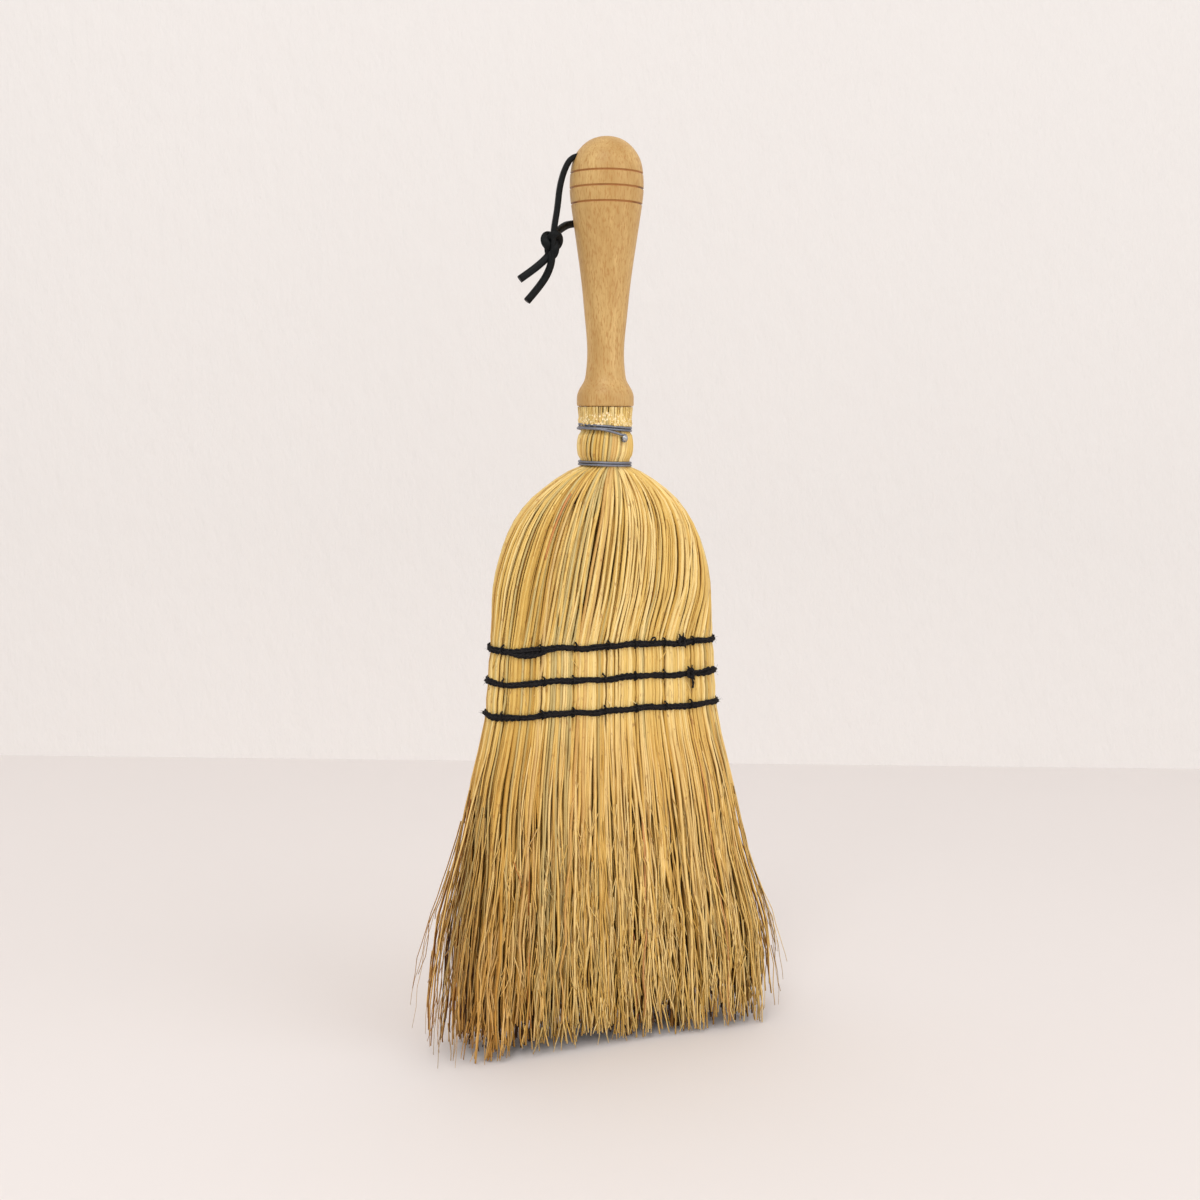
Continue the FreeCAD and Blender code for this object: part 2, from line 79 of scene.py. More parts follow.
# Loose twine in millimetres: to the right of the front's middle, above the row and out from the straw.
TOP_LOOP = (
    (18.2, 18.6, 20.2, 20.6, 19.4, 18.4), (0.4, 2.4, 3.6, 2.4, 1.2, 0.2), (1.0, 1.6, 1.8, 1.9, 1.7, 1.0),
)
SIDE_TAIL = ((39.6, 42.5, 46.0, 49.5), (0.6, 1.2, 1.3, 2.6), (1.4, 2.0, 1.6, 1.6))
HANGING_TAIL = ((39.8, 40.2, 40.9, 40.6), (0.0, -2.4, -4.6, -7.0), (1.2, 1.6, 1.2, 0.8))


def colour(name, description, default):
    return FloatVectorProperty(name=name, description=description, subtype="COLOR", size=3, min=0, max=1,
                               default=default)


def length(name, description, default):
    return FloatProperty(name=name, description=description, unit="LENGTH", default=default)


def lengths(name, description, default):
    return FloatVectorProperty(name=name, description=description, unit="LENGTH", size=len(default),
                               default=default)


def bearing(name, description, degrees):
    return FloatProperty(name=name, description=description, subtype="ANGLE", default=math.radians(degrees))


def ratio(name, description, default):
    return FloatProperty(name=name, description=description, subtype="FACTOR", min=0, max=1, default=default)


def measure(name, description, default, unit="NONE"):
    return FloatProperty(name=name, description=description, unit=unit, default=default)


def amount(name, description, default):
    return IntProperty(name=name, description=description, default=default)


class WoodSettings(bpy.types.PropertyGroup):
    pale: colour("Pale wood", "Lightest colour of the beech", (0.715, 0.475, 0.188))
    deep: colour("Deep wood", "Darkest colour of the beech's grain", (0.480, 0.274, 0.086))
    fleck: colour("Fleck", "Colour of the beech's short flecks", (0.43, 0.195, 0.046))
    burn: colour("Burn", "Colour of the burnt grooves", (0.38, 0.138, 0.032))
    scorch: colour("Scorch", "Colour of the grooves' darkest stretches", (0.10, 0.030, 0.010))
    top_groove: length("Top groove", "Height of the top burnt groove", 0.4032)
    groove_pitch: length("Groove pitch", "Distance between the burnt grooves", 0.00685)
    groove_half: length("Groove half width", "Half the width of a burnt line", 0.00034)


class StrawSettings(bpy.types.PropertyGroup):
    collar: length("Collar", "Height of the collar's foot", 0.298)
    upper_wire: length("Upper wire", "Height of the upper wire band", 0.2881)
    barrel: length("Barrel", "Height of the widest place between the wire bands", 0.2798)
    lower_wire: length("Lower wire", "Height of the lower wire band", 0.2717)
    wire_room: length("Wire room", "Half the height of a wire band", 0.0016)
    shoulder: length("Shoulder", "Height of the fan's shoulder", 0.215)
    top_row: length("Top row", "Height of the top row of stitches", 0.1878)
    row_pitch: length("Row pitch", "Distance between the rows", 0.01515)
    sewn_margin: length("Sewn margin", "From an outer row to the end of the flat stretch", 0.00385)
    neck: length("Neck", "Width under the collar", 0.024)
    wired: length("Wired", "Width under the wire bands", 0.0226)
    barrel_width: length("Barrel width", "Width between the wire bands", 0.0264)
    tuck: length("Tuck", "Height in which the barrel tucks in under a wire band", 0.0022)
    shoulder_width: length("Shoulder width", "Width of the fan's shoulder", 0.109)
    shoulder_depth: length("Shoulder depth", "Thickness of the fan's shoulder", 0.028)
    top_row_width: length("Top row width", "Width at the top row", 0.112)
    bottom_row_width: length("Bottom row width", "Width at the bottom row", 0.118)
    sewn_depth: length("Sewn depth", "Thickness between the rows", 0.0225)
    tip_width: length("Tip width", "Width at the tips", 0.183)
    tip_depth: length("Tip depth", "Thickness at the tips", 0.042)
    squeeze_left: ratio("Squeeze left", "How far most of the skirt's left half hangs in, of its width", 0.19)
    squeeze_right: ratio("Squeeze right", "How far most of its right half hangs in, of its width", 0.115)
    stalk_count: amount("Stalks", "Stalks in each of the two layers, a multiple of four", 252)
    stub_count: amount("Stubs", "Cut ends in each tier under the collar", 86)
    branch_count: amount("Branches", "Branches of the skirt", 860)
    fibre_count: amount("Fibres", "Finest fibres of the skirt", 680)
    twig_count: amount("Twigs", "Short side twigs", 900)
    chip_count: amount("Chips", "Small chips of straw between the rows", 60)
    stray_count: amount("Strays", "Fibres that stand off the ends", 70)
    clump_count: amount("Clumps", "Clumps that the tips gather in", 64)
    lean: ratio("Lean", "Mean turn of the fan above the rows, of the way round", 0.033)
    uneven: ratio("Uneven", "How much more the fan turns on the right", 0.015)
    dark: colour("Dark straw", "Colour of the darkest stalks", (0.085, 0.034, 0.006))
    tan: colour("Tan straw", "Colour of tan stalks", (0.42, 0.228, 0.044))
    golden: colour("Golden straw", "Colour of golden stalks", (0.68, 0.425, 0.100))
    yellow: colour("Yellow straw", "Colour of most stalks", (0.84, 0.585, 0.195))
    pale: colour("Pale straw", "Colour of the palest stalks", (0.95, 0.735, 0.345))
    grey: colour("Grey straw", "Colour of weathered stalks", (0.43, 0.37, 0.18))
    red: colour("Red straw", "Colour of reddish stalks", (0.58, 0.165, 0.040))
    freckle: colour("Freckle", "Colour of the small brown specks", (0.36, 0.135, 0.032))
    pith: colour("Pith", "Colour of the cut ends", (0.95, 0.76, 0.45))


class TwineSettings(bpy.types.PropertyGroup):
    columns: lengths("Columns", "Places of the stitches across the front",
                      [MM * x for x in (-54.7, -36.0, -19.8, -3.8, 12.0, 26.5, 40.7)])
    strand: length("Strand", "Radius of one strand of twine", 0.00095)
    hair_count: amount("Hairs", "Loose hairs on a row", 480)
    black: colour("Black", "Colour of the twine", (0.010, 0.009, 0.010))
    worn: colour("Worn black", "Colour of the twine's worn hairs", (0.030, 0.026, 0.026))


class WireSettings(bpy.types.PropertyGroup):
    radius: length("Radius", "Radius of the wire", 0.0006)
    tilt: ratio("Tilt", "Fall of the upper band from left to right", 0.05)
    leave_angle: bearing("Leave angle", "Where the free end leaves its band", 226)
    nail_height: length("Nail height", "Height of the nail", 0.2836)
    nail_angle: bearing("Nail angle", "Where the nail is round the neck", 285)
    grey: colour("Wire", "Colour of the galvanised wire", (0.27, 0.28, 0.325))
    bright: colour("Nail", "Colour of the nail", (0.46, 0.47, 0.49))


class ThongSettings(bpy.types.PropertyGroup):
    hole_height: length("Hole height", "Height of the cross hole", 0.4107)
    turn: bearing("Turn", "Turn of the cross hole from X", -8.0)
    half_width: length("Half width", "Half the thong's width", 0.0017)
    half_thickness: length("Half thickness", "Half the thong's thickness", 0.0013)
    black: colour("Black", "Colour of the thong", (0.0025, 0.0030, 0.0033))
    # Painted sheen: its lighter patches stand in for light reflected off the thong.
    sheen: colour("Sheen", "Colour where the thong is rubbed", (0.0060, 0.0072, 0.0077))


class StageSettings(bpy.types.PropertyGroup):
    wall: colour("Wall", "Colour of the wall", (0.885, 0.848, 0.822))
    floor: colour("Floor", "Colour of the floor", (0.848, 0.793, 0.768))
    wall_distance: length("Wall distance", "From the broom's axis back to the wall", 0.638)
    wall_turn: bearing("Wall turn", "Turn of the wall off the camera", -1.4)
    camera_distance: length("Camera distance", "From the broom's axis to the camera", 0.783)
    camera_height: length("Camera height", "Height of the camera", 0.2917)
    azimuth: bearing("Azimuth", "Camera's angle round the broom", -25.0)
    pitch: bearing("Pitch", "Camera's angle below the horizon", 6.1)
    lens: measure("Lens", "Camera's focal length", 50.49, "CAMERA")
    aim: bearing("Aim", "Camera's turn off the axis", 0.14)
    roll: bearing("Roll", "Camera's roll", 0.34)
    world: measure("World", "Strength of the light all round", 0.79)
    key: measure("Key", "Strength of the key light", 14.8, "POWER")
    fill: measure("Fill", "Strength of the fill light", 8.8, "POWER")


# Shapes

# Steps in which the straw's edge is read, and the places of the streaks' noise that strands take in turn.
FINE_STEPS = 4000
STREAK_STEP, STREAK_PLACES = 7, 61


def ease(value, low, high):
    """0 below low, 1 above high and a soft step between. High may be below low."""
    share = np.clip((value - low) / (high - low), 0, 1)
    return share * share * (3 - 2 * share)


def bell(value, width):
    """1 at 0, and less the farther the value is from it."""
    return np.exp(-((value / width) ** 2))


def unit(vectors):
    return vectors / np.maximum(np.linalg.norm(vectors, axis=-1, keepdims=True), 1e-12)


def camera_ways(azimuth):
    """The camera's right, and the level way towards the camera."""
    across, through = math.cos(azimuth), math.sin(azimuth)
    return (across, through, 0), (through, -across, 0)


def smooth_through(places, values, at):
    """A cubic curve through the values that doesn't overshoot them, read at the points in at."""
    step = np.diff(places)
    slope = np.diff(values) / step
    tangent = np.zeros(len(values))
    before, after = slope[:-1], slope[1:]
    same_way = before * after > 0
    tangent[1:-1][same_way] = (2 * before * after)[same_way] / (before + after)[same_way]
    tangent[0], tangent[-1] = slope[0], slope[-1]
    i = np.clip(np.searchsorted(places, at) - 1, 0, len(step) - 1)
    t = np.clip((at - places[i]) / step[i], 0, 1)
    return (
        values[i] * (1 + 2 * t) * (1 - t) ** 2
        + values[i + 1] * t * t * (3 - 2 * t)
        + step[i] * (tangent[i] * t * (1 - t) ** 2 - tangent[i + 1] * t * t * (1 - t))
    )


def rim(width, depth, share):
    """Points and outward directions on a round-ended section, from the front's middle to the right."""
    radius = depth / 2
    flat = np.maximum(width - depth, 0)
    arc = np.pi * radius
    whole = 2 * (flat + arc)
    along = (share - np.floor(share)) * whole
    sides = [along < flat / 2, along < flat / 2 + arc, along < 1.5 * flat + arc, along < 1.5 * flat + 2 * arc]
    right = (along - flat / 2) / radius
    left = (along - 1.5 * flat - arc) / radius
    none = np.zeros_like(along)
    out_x = np.select(sides, [none, np.sin(right), none, -np.sin(left)], none)
    out_y = np.select(sides, [none - 1, -np.cos(right), none + 1, np.cos(left)], none - 1)
    x = np.select(
        sides,
        [along, flat / 2 + radius * out_x, 1.5 * flat + arc - along - flat / 2, radius * out_x - flat / 2],
        along - whole,
    )
    return x, radius * out_y, out_x, out_y


class Outline:
    """The straw head's sections, read at a distance run down its edge from the collar."""

    def __init__(self, straw):
        self.rows = straw.top_row - straw.row_pitch * np.arange(3)
        self.neck_foot = straw.lower_wire - straw.wire_room
        self.sewn_foot = self.rows[-1] - straw.sewn_margin
        tucked = 0.3 * straw.wired + 0.7 * straw.barrel_width
        neck = (
            (straw.collar, straw.neck),
            (straw.upper_wire + straw.wire_room, straw.wired),
            (straw.upper_wire - straw.wire_room, straw.wired),
            (straw.upper_wire - straw.wire_room - straw.tuck, tucked),
            (straw.barrel, straw.barrel_width),
            (straw.lower_wire + straw.wire_room + straw.tuck, tucked),
            (straw.lower_wire + straw.wire_room, straw.wired),
            (self.neck_foot, straw.wired),
        )
        parts = [(height, size, size) for height, size in neck]
        ends = ((self.neck_foot, straw.shoulder), (straw.wired, straw.shoulder_width),
                (straw.wired, straw.shoulder_depth))
        parts += self.grown(ends, FAN_SHARES)
        parts.append((self.rows[0] + straw.sewn_margin, straw.top_row_width, straw.sewn_depth))
        parts.append((self.sewn_foot, straw.bottom_row_width, straw.sewn_depth))
        ends = ((self.sewn_foot, 0), (straw.bottom_row_width, straw.tip_width),
                (straw.sewn_depth, straw.tip_depth))
        parts += self.grown(ends, SKIRT_SHARES)
        self.heights, self.widths, self.depths = np.array(parts).T
        steps = np.hypot(np.diff(self.widths / 2), np.diff(self.heights))
        self.runs = np.concatenate([[0], np.cumsum(steps)])
        self.fine_runs = np.linspace(0, self.runs[-1], FINE_STEPS)
        self.fine_heights = smooth_through(self.runs, self.heights, self.fine_runs)

    @staticmethod
    def grown(ends, shares):
        """Sections between two ends, each at its shares of the height, the width and the depth."""
        return [[start + (end - start) * part for (start, end), part in zip(ends, share)] for share in shares]

    def run_at(self, height):
        return np.interp(-np.asarray(height), -self.fine_heights, self.fine_runs)

    def read(self, run):
        width = smooth_through(self.runs, self.widths, run)
        depth = np.minimum(smooth_through(self.runs, self.depths, run), width)
        return width, depth, smooth_through(self.runs, self.heights, run)

    def perimeter(self, run):
        width, depth, _ = self.read(run)
        return 2 * (width - depth) + np.pi * depth

    def points(self, run, share, inset):
        """Places on the straw and the outward directions there."""
        width, depth, height = self.read(run)
        x, y, out_x, out_y = rim(width, depth, share)
        places = np.stack([x - out_x * inset, y - out_y * inset, height], axis=-1)
        return places, np.stack([out_x, out_y, np.zeros_like(out_x)], axis=-1)


class Pattern:
    """A capped tube modelled once: the ring and side of each vertex, its side faces and its two ends."""

    def __init__(self, sides, rings):
        bpy.ops.object.select_all(action="DESELECT")
        bpy.ops.mesh.primitive_cylinder_add(vertices=sides, radius=1, depth=2, end_fill_type="NGON")
        tube = bpy.context.active_object
        mesh = tube.data
        bpy.context.tool_settings.mesh_select_mode = (False, True, False)
        bpy.ops.object.mode_set(mode="EDIT")
        bpy.ops.mesh.select_all(action="DESELECT")
        bpy.ops.object.mode_set(mode="OBJECT")
        heights = [vertex.co.z for vertex in mesh.vertices]
        for edge in mesh.edges:
            first, second = edge.vertices
            edge.select = abs(heights[first] - heights[second]) > 1
        bpy.ops.object.mode_set(mode="EDIT")
        bpy.ops.mesh.subdivide(number_cuts=rings - 2)
        bpy.ops.object.mode_set(mode="OBJECT")
        places = np.array([vertex.co for vertex in mesh.vertices])
        self.sides = sides
        self.ring = np.rint((1 - places[:, 2]) / 2 * (rings - 1)).astype(int)
        self.side = np.rint(np.arctan2(places[:, 1], places[:, 0]) / TURN * sides).astype(int) % sides
        faces = [list(face.vertices) for face in mesh.polygons]
        ends = [face for face in faces if len(set(self.ring[face])) == 1]
        self.walls = np.array([face for face in faces if face not in ends])
        self.ends = np.array(ends)
        around = self.side[self.walls].copy()
        wraps = (around.max(1) - around.min(1)) > 1
        around[wraps[:, None] & (around == 0)] = sides
        self.around = around / sides
        bpy.data.objects.remove(tube)
        bpy.data.meshes.remove(mesh)


def sweep(places, outward, half_width, half_depth, sides, square=1.0, turn=0.0):
    """Rings of a strand along each row of places: (strand, ring, side, xyz)."""
    forward = unit(np.gradient(places, axis=1))
    outward = outward - (outward * forward).sum(-1, keepdims=True) * forward
    outward = unit(outward)
    across = np.cross(forward, outward)
    angle = TURN * np.arange(sides) / sides
    wide, deep = np.cos(angle), np.sin(angle)
    if square != 1:
        wide, deep = (np.sign(part) * np.abs(part) ** square for part in (wide, deep))
    turn = np.asarray(turn, float)[..., None]
    wide, deep = half_width[..., None] * wide, half_depth[..., None] * deep
    side_part = wide * np.cos(turn) - deep * np.sin(turn)
    out_part = wide * np.sin(turn) + deep * np.cos(turn)
    return (
        places[:, :, None]
        + across[:, :, None] * side_part[..., None]
        + outward[:, :, None] * out_part[..., None]
    )


class Bundle:
    """Copies of modelled strands that become one piece."""

    def __init__(self):
        self.places, self.faces, self.ends, self.uv = [], [], [], []
        self.values = {"tone": [], "tint": []}
        self.count = 0

    def add(self, pattern, rings, tone, tint, runs):
        copies, size = len(rings), len(pattern.ring)
        if not copies:
            return
        self.places.append(rings[:, pattern.ring, pattern.side].reshape(-1, 3))
        start = (self.count + size * np.arange(copies))[:, None, None]
        self.faces += (pattern.walls + start).reshape(-1, pattern.walls.shape[1]).tolist()
        self.faces += (pattern.ends + start).reshape(-1, pattern.ends.shape[1]).tolist()
        self.ends += [0.0] * (copies * len(pattern.walls)) + [1.0] * (copies * len(pattern.ends))
        down = runs[:, pattern.ring[pattern.walls]]
        around = np.broadcast_to(pattern.around, down.shape)
        around = around + (np.arange(copies) * STREAK_STEP % STREAK_PLACES)[:, None, None]
        self.uv.append(np.stack([around, down], axis=-1).reshape(-1, 2))
        self.uv.append(np.zeros((copies * pattern.ends.size, 2)))
        for kind, value in (("tone", tone), ("tint", tint)):
            self.values[kind].append(np.repeat(np.broadcast_to(value, copies), size))
        self.count += size * copies

    def piece(self, name, material):
        mesh = bpy.data.meshes.new(name)
        mesh.from_pydata(np.concatenate(self.places).tolist(), [], self.faces)
        layer = mesh.uv_layers.new(name="along")
        layer.data.foreach_set("uv", np.concatenate(self.uv).ravel())
        for value, parts in self.values.items():
            attribute = mesh.attributes.new(value, "FLOAT", "POINT")
            attribute.data.foreach_set("value", np.concatenate(parts))
        mesh.attributes.new("pith", "FLOAT", "FACE").data.foreach_set("value", self.ends)
        mesh.polygons.foreach_set("use_smooth", [end == 0 for end in self.ends])
        mesh.materials.append(material)
        made = bpy.data.objects.new(name, mesh)
        bpy.context.scene.collection.objects.link(made)
        return made


# Materials


def node(tree, kind, inputs=None, **settings):
    """A node with its settings, and its inputs set or linked."""
    made = tree.nodes.new(kind)
    for key, value in settings.items():
        setattr(made, key, value)
    for key, value in (inputs or {}).items():
        if isinstance(value, bpy.types.NodeSocket):
            tree.links.new(value, made.inputs[key])
        else:
            made.inputs[key].default_value = value
    return made


def ramp(tree, factor, stops):
    """A colour ramp over the factor, its stops as (place, colour)."""
    made = node(tree, "ShaderNodeValToRGB", {"Fac": factor})
    elements = made.color_ramp.elements
    while len(elements) < len(stops):
        elements.new(0.5)
    for element, (place, tint) in zip(elements, stops):
        element.position = place
        element.color = (*tint, 1)
    return made.outputs["Color"]


def span(tree, value, low, high, start=0.0, end=1.0):
    """The value mapped from low..high to start..end, and kept within."""
    made = node(tree, "ShaderNodeMapRange", {
        "Value": value, "From Min": low, "From Max": high, "To Min": start, "To Max": end})
    return made.outputs["Result"]


def mix(tree, factor, first, second, blend="MIX"):
    made = node(tree, "ShaderNodeMix", data_type="RGBA", blend_type=blend)
    for place, value in ((0, factor), (6, first), (7, second)):
        if isinstance(value, bpy.types.NodeSocket):
            tree.links.new(value, made.inputs[place])
        else:
            made.inputs[place].default_value = value if place == 0 else (*value, 1)
    return made.outputs[2]


def noise(tree, vector, scale, detail=3.0, roughness=0.55):
    made = node(tree, "ShaderNodeTexNoise", {
        "Vector": vector, "Scale": scale, "Detail": detail, "Roughness": roughness})
    return made.outputs["Fac"]


def stretched(tree, vector, scale, location=(0, 0, 0)):
    made = node(tree, "ShaderNodeMapping", {"Vector": vector, "Scale": scale, "Location": location})
    return made.outputs["Vector"]


def new_material(name, roughness, metallic=0.0, specular=0.5):
    material = bpy.data.materials.new(name)
    material.use_nodes = True
    shader = material.node_tree.nodes["Principled BSDF"]
    shader.inputs["Roughness"].default_value = roughness
    shader.inputs["Metallic"].default_value = metallic
    shader.inputs["Specular IOR Level"].default_value = specular
    return material, material.node_tree, shader


def object_place(tree):
    return node(tree, "ShaderNodeTexCoord").outputs["Object"]


def axes(tree, vector):
    return node(tree, "ShaderNodeSeparateXYZ", {"Vector": vector}).outputs


def maths(tree, operation, *values):
    return node(tree, "ShaderNodeMath", dict(enumerate(values)), operation=operation).outputs[0]


def bump(tree, shader, height, strength, distance):
    made = node(tree, "ShaderNodeBump", {"Height": height, "Strength": strength, "Distance": distance})
    tree.links.new(made.outputs["Normal"], shader.inputs["Normal"])


def attribute(tree, name):
    return node(tree, "ShaderNodeAttribute", attribute_name=name).outputs["Fac"]


def beech(settings):
    material, tree, shader = new_material("beech", roughness=0.48, specular=0.35)
    place = object_place(tree)
    fibre = noise(tree, stretched(tree, place, (1, 1, 0.05)), 1300, 4)
    cloud = noise(tree, stretched(tree, place, (1, 1, 0.30)), 85, 3)
    rings = node(tree, "ShaderNodeTexWave", {
        "Vector": stretched(tree, place, (1, 1, 0.10), (0.021, 0.026, 0)), "Scale": 92, "Distortion": 5.0,
        "Detail": 3, "Detail Scale": 1.4, "Detail Roughness": 0.6}, wave_type="RINGS", rings_direction="Z")
    dash = noise(tree, stretched(tree, place, (1, 1, 0.20)), 1500, 2)
    wood = mix(tree, span(tree, cloud, 0.30, 0.72), settings.pale, settings.deep)
    wood = mix(tree, span(tree, fibre, 0.35, 0.75, 0.0, 0.60), wood, settings.deep)
    wood = mix(tree, span(tree, rings.outputs["Fac"], 0.45, 1.0, 0.0, 0.30), wood, settings.deep)
    wood = mix(tree, span(tree, dash, 0.50, 0.66, 0.0, 0.66), wood, settings.fleck)
    foot = settings.top_groove - 2.5 * settings.groove_pitch
    top = settings.top_groove + 0.5 * settings.groove_pitch
    half = settings.groove_half / (top - foot)
    bare, burnt = (0, 0, 0), (1, 1, 1)
    stops = []
    for groove in (2, 1, 0):
        middle = (settings.top_groove - groove * settings.groove_pitch - foot) / (top - foot)
        edges = ((-1.7, bare), (-0.6, burnt), (0.6, burnt), (1.7, bare))
        stops += [(middle + off * half, value) for off, value in edges]
    line = ramp(tree, span(tree, axes(tree, place)["Z"], foot, top), stops)
    ragged = noise(tree, stretched(tree, place, (1, 1, 2.0)), 62, 3)
    strength = maths(tree, "MULTIPLY", line, span(tree, ragged, 0.30, 0.62, 0.72, 0.97))
    burn = mix(tree, span(tree, ragged, 0.52, 0.66), settings.burn, settings.scorch)
    tree.links.new(mix(tree, strength, wood, burn), shader.inputs["Base Color"])
    bump(tree, shader, fibre, strength=0.12, distance=0.0002)
    return material


def straw_material(settings):
    material, tree, shader = new_material("straw", roughness=0.50, specular=0.32)
    along = node(tree, "ShaderNodeUVMap", uv_map="along").outputs["UV"]
    place = axes(tree, object_place(tree))
    height = place["Z"]
    # Each stalk's colour: most by its tone, which carries painted shade too, a few grey, speckled or reddish
    # by their tint.
    tint = attribute(tree, "tint")
    stalk = ramp(tree, attribute(tree, "tone"), (
        (0.0, settings.dark), (0.22, settings.tan), (0.45, settings.golden), (0.72, settings.yellow),
        (1.0, settings.pale)))
    stalk = mix(tree, span(tree, tint, 0.10, 0.16, 0.58, 0.0), stalk, settings.grey)
    stalk = mix(tree, span(tree, tint, 0.92, 0.93, 0.0, 0.30), stalk, settings.freckle)
    stalk = mix(tree, span(tree, tint, 0.985, 1.0, 0.0, 0.7), stalk, settings.red)
    # Painted shade on stalks' sides and highlight on their middles: less on the cut ends under the collar,
    # more in the skirt.
    angle = maths(tree, "MULTIPLY_ADD", axes(tree, along)["X"], TURN, -TURN / 4)
    sides = ramp(tree, span(tree, maths(tree, "COSINE", angle), -0.3, 0.9), (
        (0.0, (0.54, 0.38, 0.21)), (0.38, (0.92, 0.86, 0.75)), (1.0, (1.08, 1.08, 1.05))))
    ends = span(tree, height, settings.upper_wire, settings.upper_wire + 0.001, 1.0, 0.25)
    stalk = mix(tree, ends, stalk, sides, "MULTIPLY")
    stalk = mix(tree, span(tree, height, 0.165, 0.100, 0.0, 0.75), stalk, sides, "MULTIPLY")
    # Streaks, blotches and specks along the stalks; the streaks' brightest lines are painted highlights.
    streak = noise(tree, stretched(tree, along, (5.0, 70.0, 1.0)), 1.0, 4, 0.6)
    streaks_and_highlights = ramp(tree, streak, (
        (0.25, (0.55, 0.47, 0.36)), (0.46, (0.92, 0.90, 0.86)), (0.62, (1.0, 1.0, 1.0)),
        (0.8, (1.10, 1.10, 1.08))))
    stalk = mix(tree, 1.0, stalk, streaks_and_highlights, "MULTIPLY")
    blotch = noise(tree, stretched(tree, along, (1.2, 34.0, 1.0)), 1.0, 2)
    stalk = mix(tree, span(tree, blotch, 0.60, 0.74, 0.0, 0.36), stalk, settings.tan)
    speck = noise(tree, stretched(tree, along, (2.0, 210.0, 1.0), (7.0, 3.0, 0)), 1.0, 2)
    stalk = mix(tree, span(tree, speck, 0.63, 0.72, 0.0, 0.55), stalk, settings.freckle)
    # Darker below the rows, and more so at the left end's tips.
    aged = ramp(tree, span(tree, height, 0.0, 0.2), (
        (0.0, (0.20, 0.20, 0.20)), (0.68, (0.34, 0.34, 0.34)), (0.80, (0.0, 0.0, 0.0))))
    stalk = mix(tree, aged, stalk, (0.70, 0.52, 0.34), "MULTIPLY")
    left = span(tree, place["X"], -0.025, -0.065, 0.0, 0.55)
    low = maths(tree, "MULTIPLY", left, span(tree, height, 0.11, 0.02))
    stalk = mix(tree, low, stalk, (0.84, 0.60, 0.40), "MULTIPLY")
    # Pale pith on the cut ends near the collar.
    cut = maths(tree, "MULTIPLY", attribute(tree, "pith"), span(tree, height, 0.2, 0.28))
    stalk = mix(tree, cut, stalk, settings.pith)
    tree.links.new(stalk, shader.inputs["Base Color"])
    bump(tree, shader, streak, strength=0.35, distance=0.00025)
    return material


def twine_material(settings):
    material, tree, shader = new_material("twine", roughness=0.88, specular=0.2)
    shade = noise(tree, object_place(tree), 1800, 3)
    paint = mix(tree, span(tree, shade, 0.45, 0.8), settings.black, settings.worn)
    tree.links.new(paint, shader.inputs["Base Color"])
    bump(tree, shader, shade, strength=0.6, distance=0.0003)
    return material


def metal(name, tint, roughness, wear):
    material, tree, shader = new_material(name, roughness, metallic=1.0)
    shade = noise(tree, object_place(tree), 900, 4)
    worn = [0.45 * part for part in tint]
    paint = mix(tree, span(tree, shade, 0.3, 0.75, 0.0, wear), tint, worn)
    tree.links.new(paint, shader.inputs["Base Color"])
    tree.links.new(span(tree, shade, 0.3, 0.8, roughness, roughness + 0.2), shader.inputs["Roughness"])
    bump(tree, shader, shade, strength=0.15, distance=0.0001)
    return material


def leather(settings):
    material, tree, shader = new_material("leather", roughness=0.55, specular=0.17)
    place = object_place(tree)
    grain = noise(tree, place, 2600, 4)
    # Painted sheen: lighter patches that stand in for light reflected off the leather.
    sheen_patches = noise(tree, place, 240, 3)
    paint = mix(tree, span(tree, sheen_patches, 0.42, 0.75, 0.0, 0.9), settings.black, settings.sheen)
    tree.links.new(paint, shader.inputs["Base Color"])
    tree.links.new(span(tree, grain, 0.3, 0.7, 0.42, 0.62), shader.inputs["Roughness"])
    bump(tree, shader, grain, strength=0.5, distance=0.0002)
    return material


def finish_node(name, material):
    """Gives a CAD node that stays in view its finish."""
    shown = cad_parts[name]
    shown.data.materials.clear()
    shown.data.materials.append(material)


# Straw

STRAW_SEED = 4
STALK_SIDES, STUB_SIDES, TWIG_SIDES = 5, 6, 3

# Half the widths of the strands.
STALK_HALF, STUB_HALF, CROSSER_HALF = 0.00072, 0.00066, 0.00055
TWIG_HALF, STRAY_HALF = 0.00030, 0.00036

# Heights between which the tips flare, the skirt hangs in, the strands gather in clumps and lie deeper.
FLARE_BAND, HANG_BAND = (0.085, 0.025), (0.145, 0.045)
CLUMP_BAND, DEEP_BAND = (0.11, 0.008), (0.15, 0.03)

# Heights where the inner stalks end and where the lowest branches, fibres and twigs start.
CORE_FOOT, BRANCH_LOW, FIBRE_LOW, TWIG_LOW = 0.06, 0.07, 0.035, 0.012

# Stretches of height above the lowest ones in which fibres and twigs start.
FIBRE_STARTS, TWIG_STARTS = 0.10, 0.115

# How much farther out the tips reach at the right end, and less far at the left end.
FLARE_RIGHT, FLARE_LEFT = 0.0046, 0.0012

# How far the rows and their stitches draw the straw in, how far this reaches, and the same of the partings.
ROW_DRAW, STITCH_DRAW, STITCH_REACH, STITCH_RISE = 0.0007, 0.0010, 0.0024, 0.006
PARTED, PARTED_REACH = 0.00055, 0.0022

# Stretches of the way round where grey stalks are common.
GREY_BANDS = ((-0.125, -0.080), (-0.225, -0.195))

# The one orange stalk across the fan: its place round the straw, its two heights and its tint.
ORANGE_STALK = (-0.168, 0.2585, 0.2290, 1.0)


def spread(stops, counts):
    """Ring places down each strand: so many in each stretch between its stops."""
    parts = [
        first[:, None] + (second - first)[:, None] * np.arange(count) / count
        for first, second, count in zip(stops[:-1], stops[1:], counts)
    ]
    return np.concatenate(parts + [stops[-1][:, None]], axis=1)


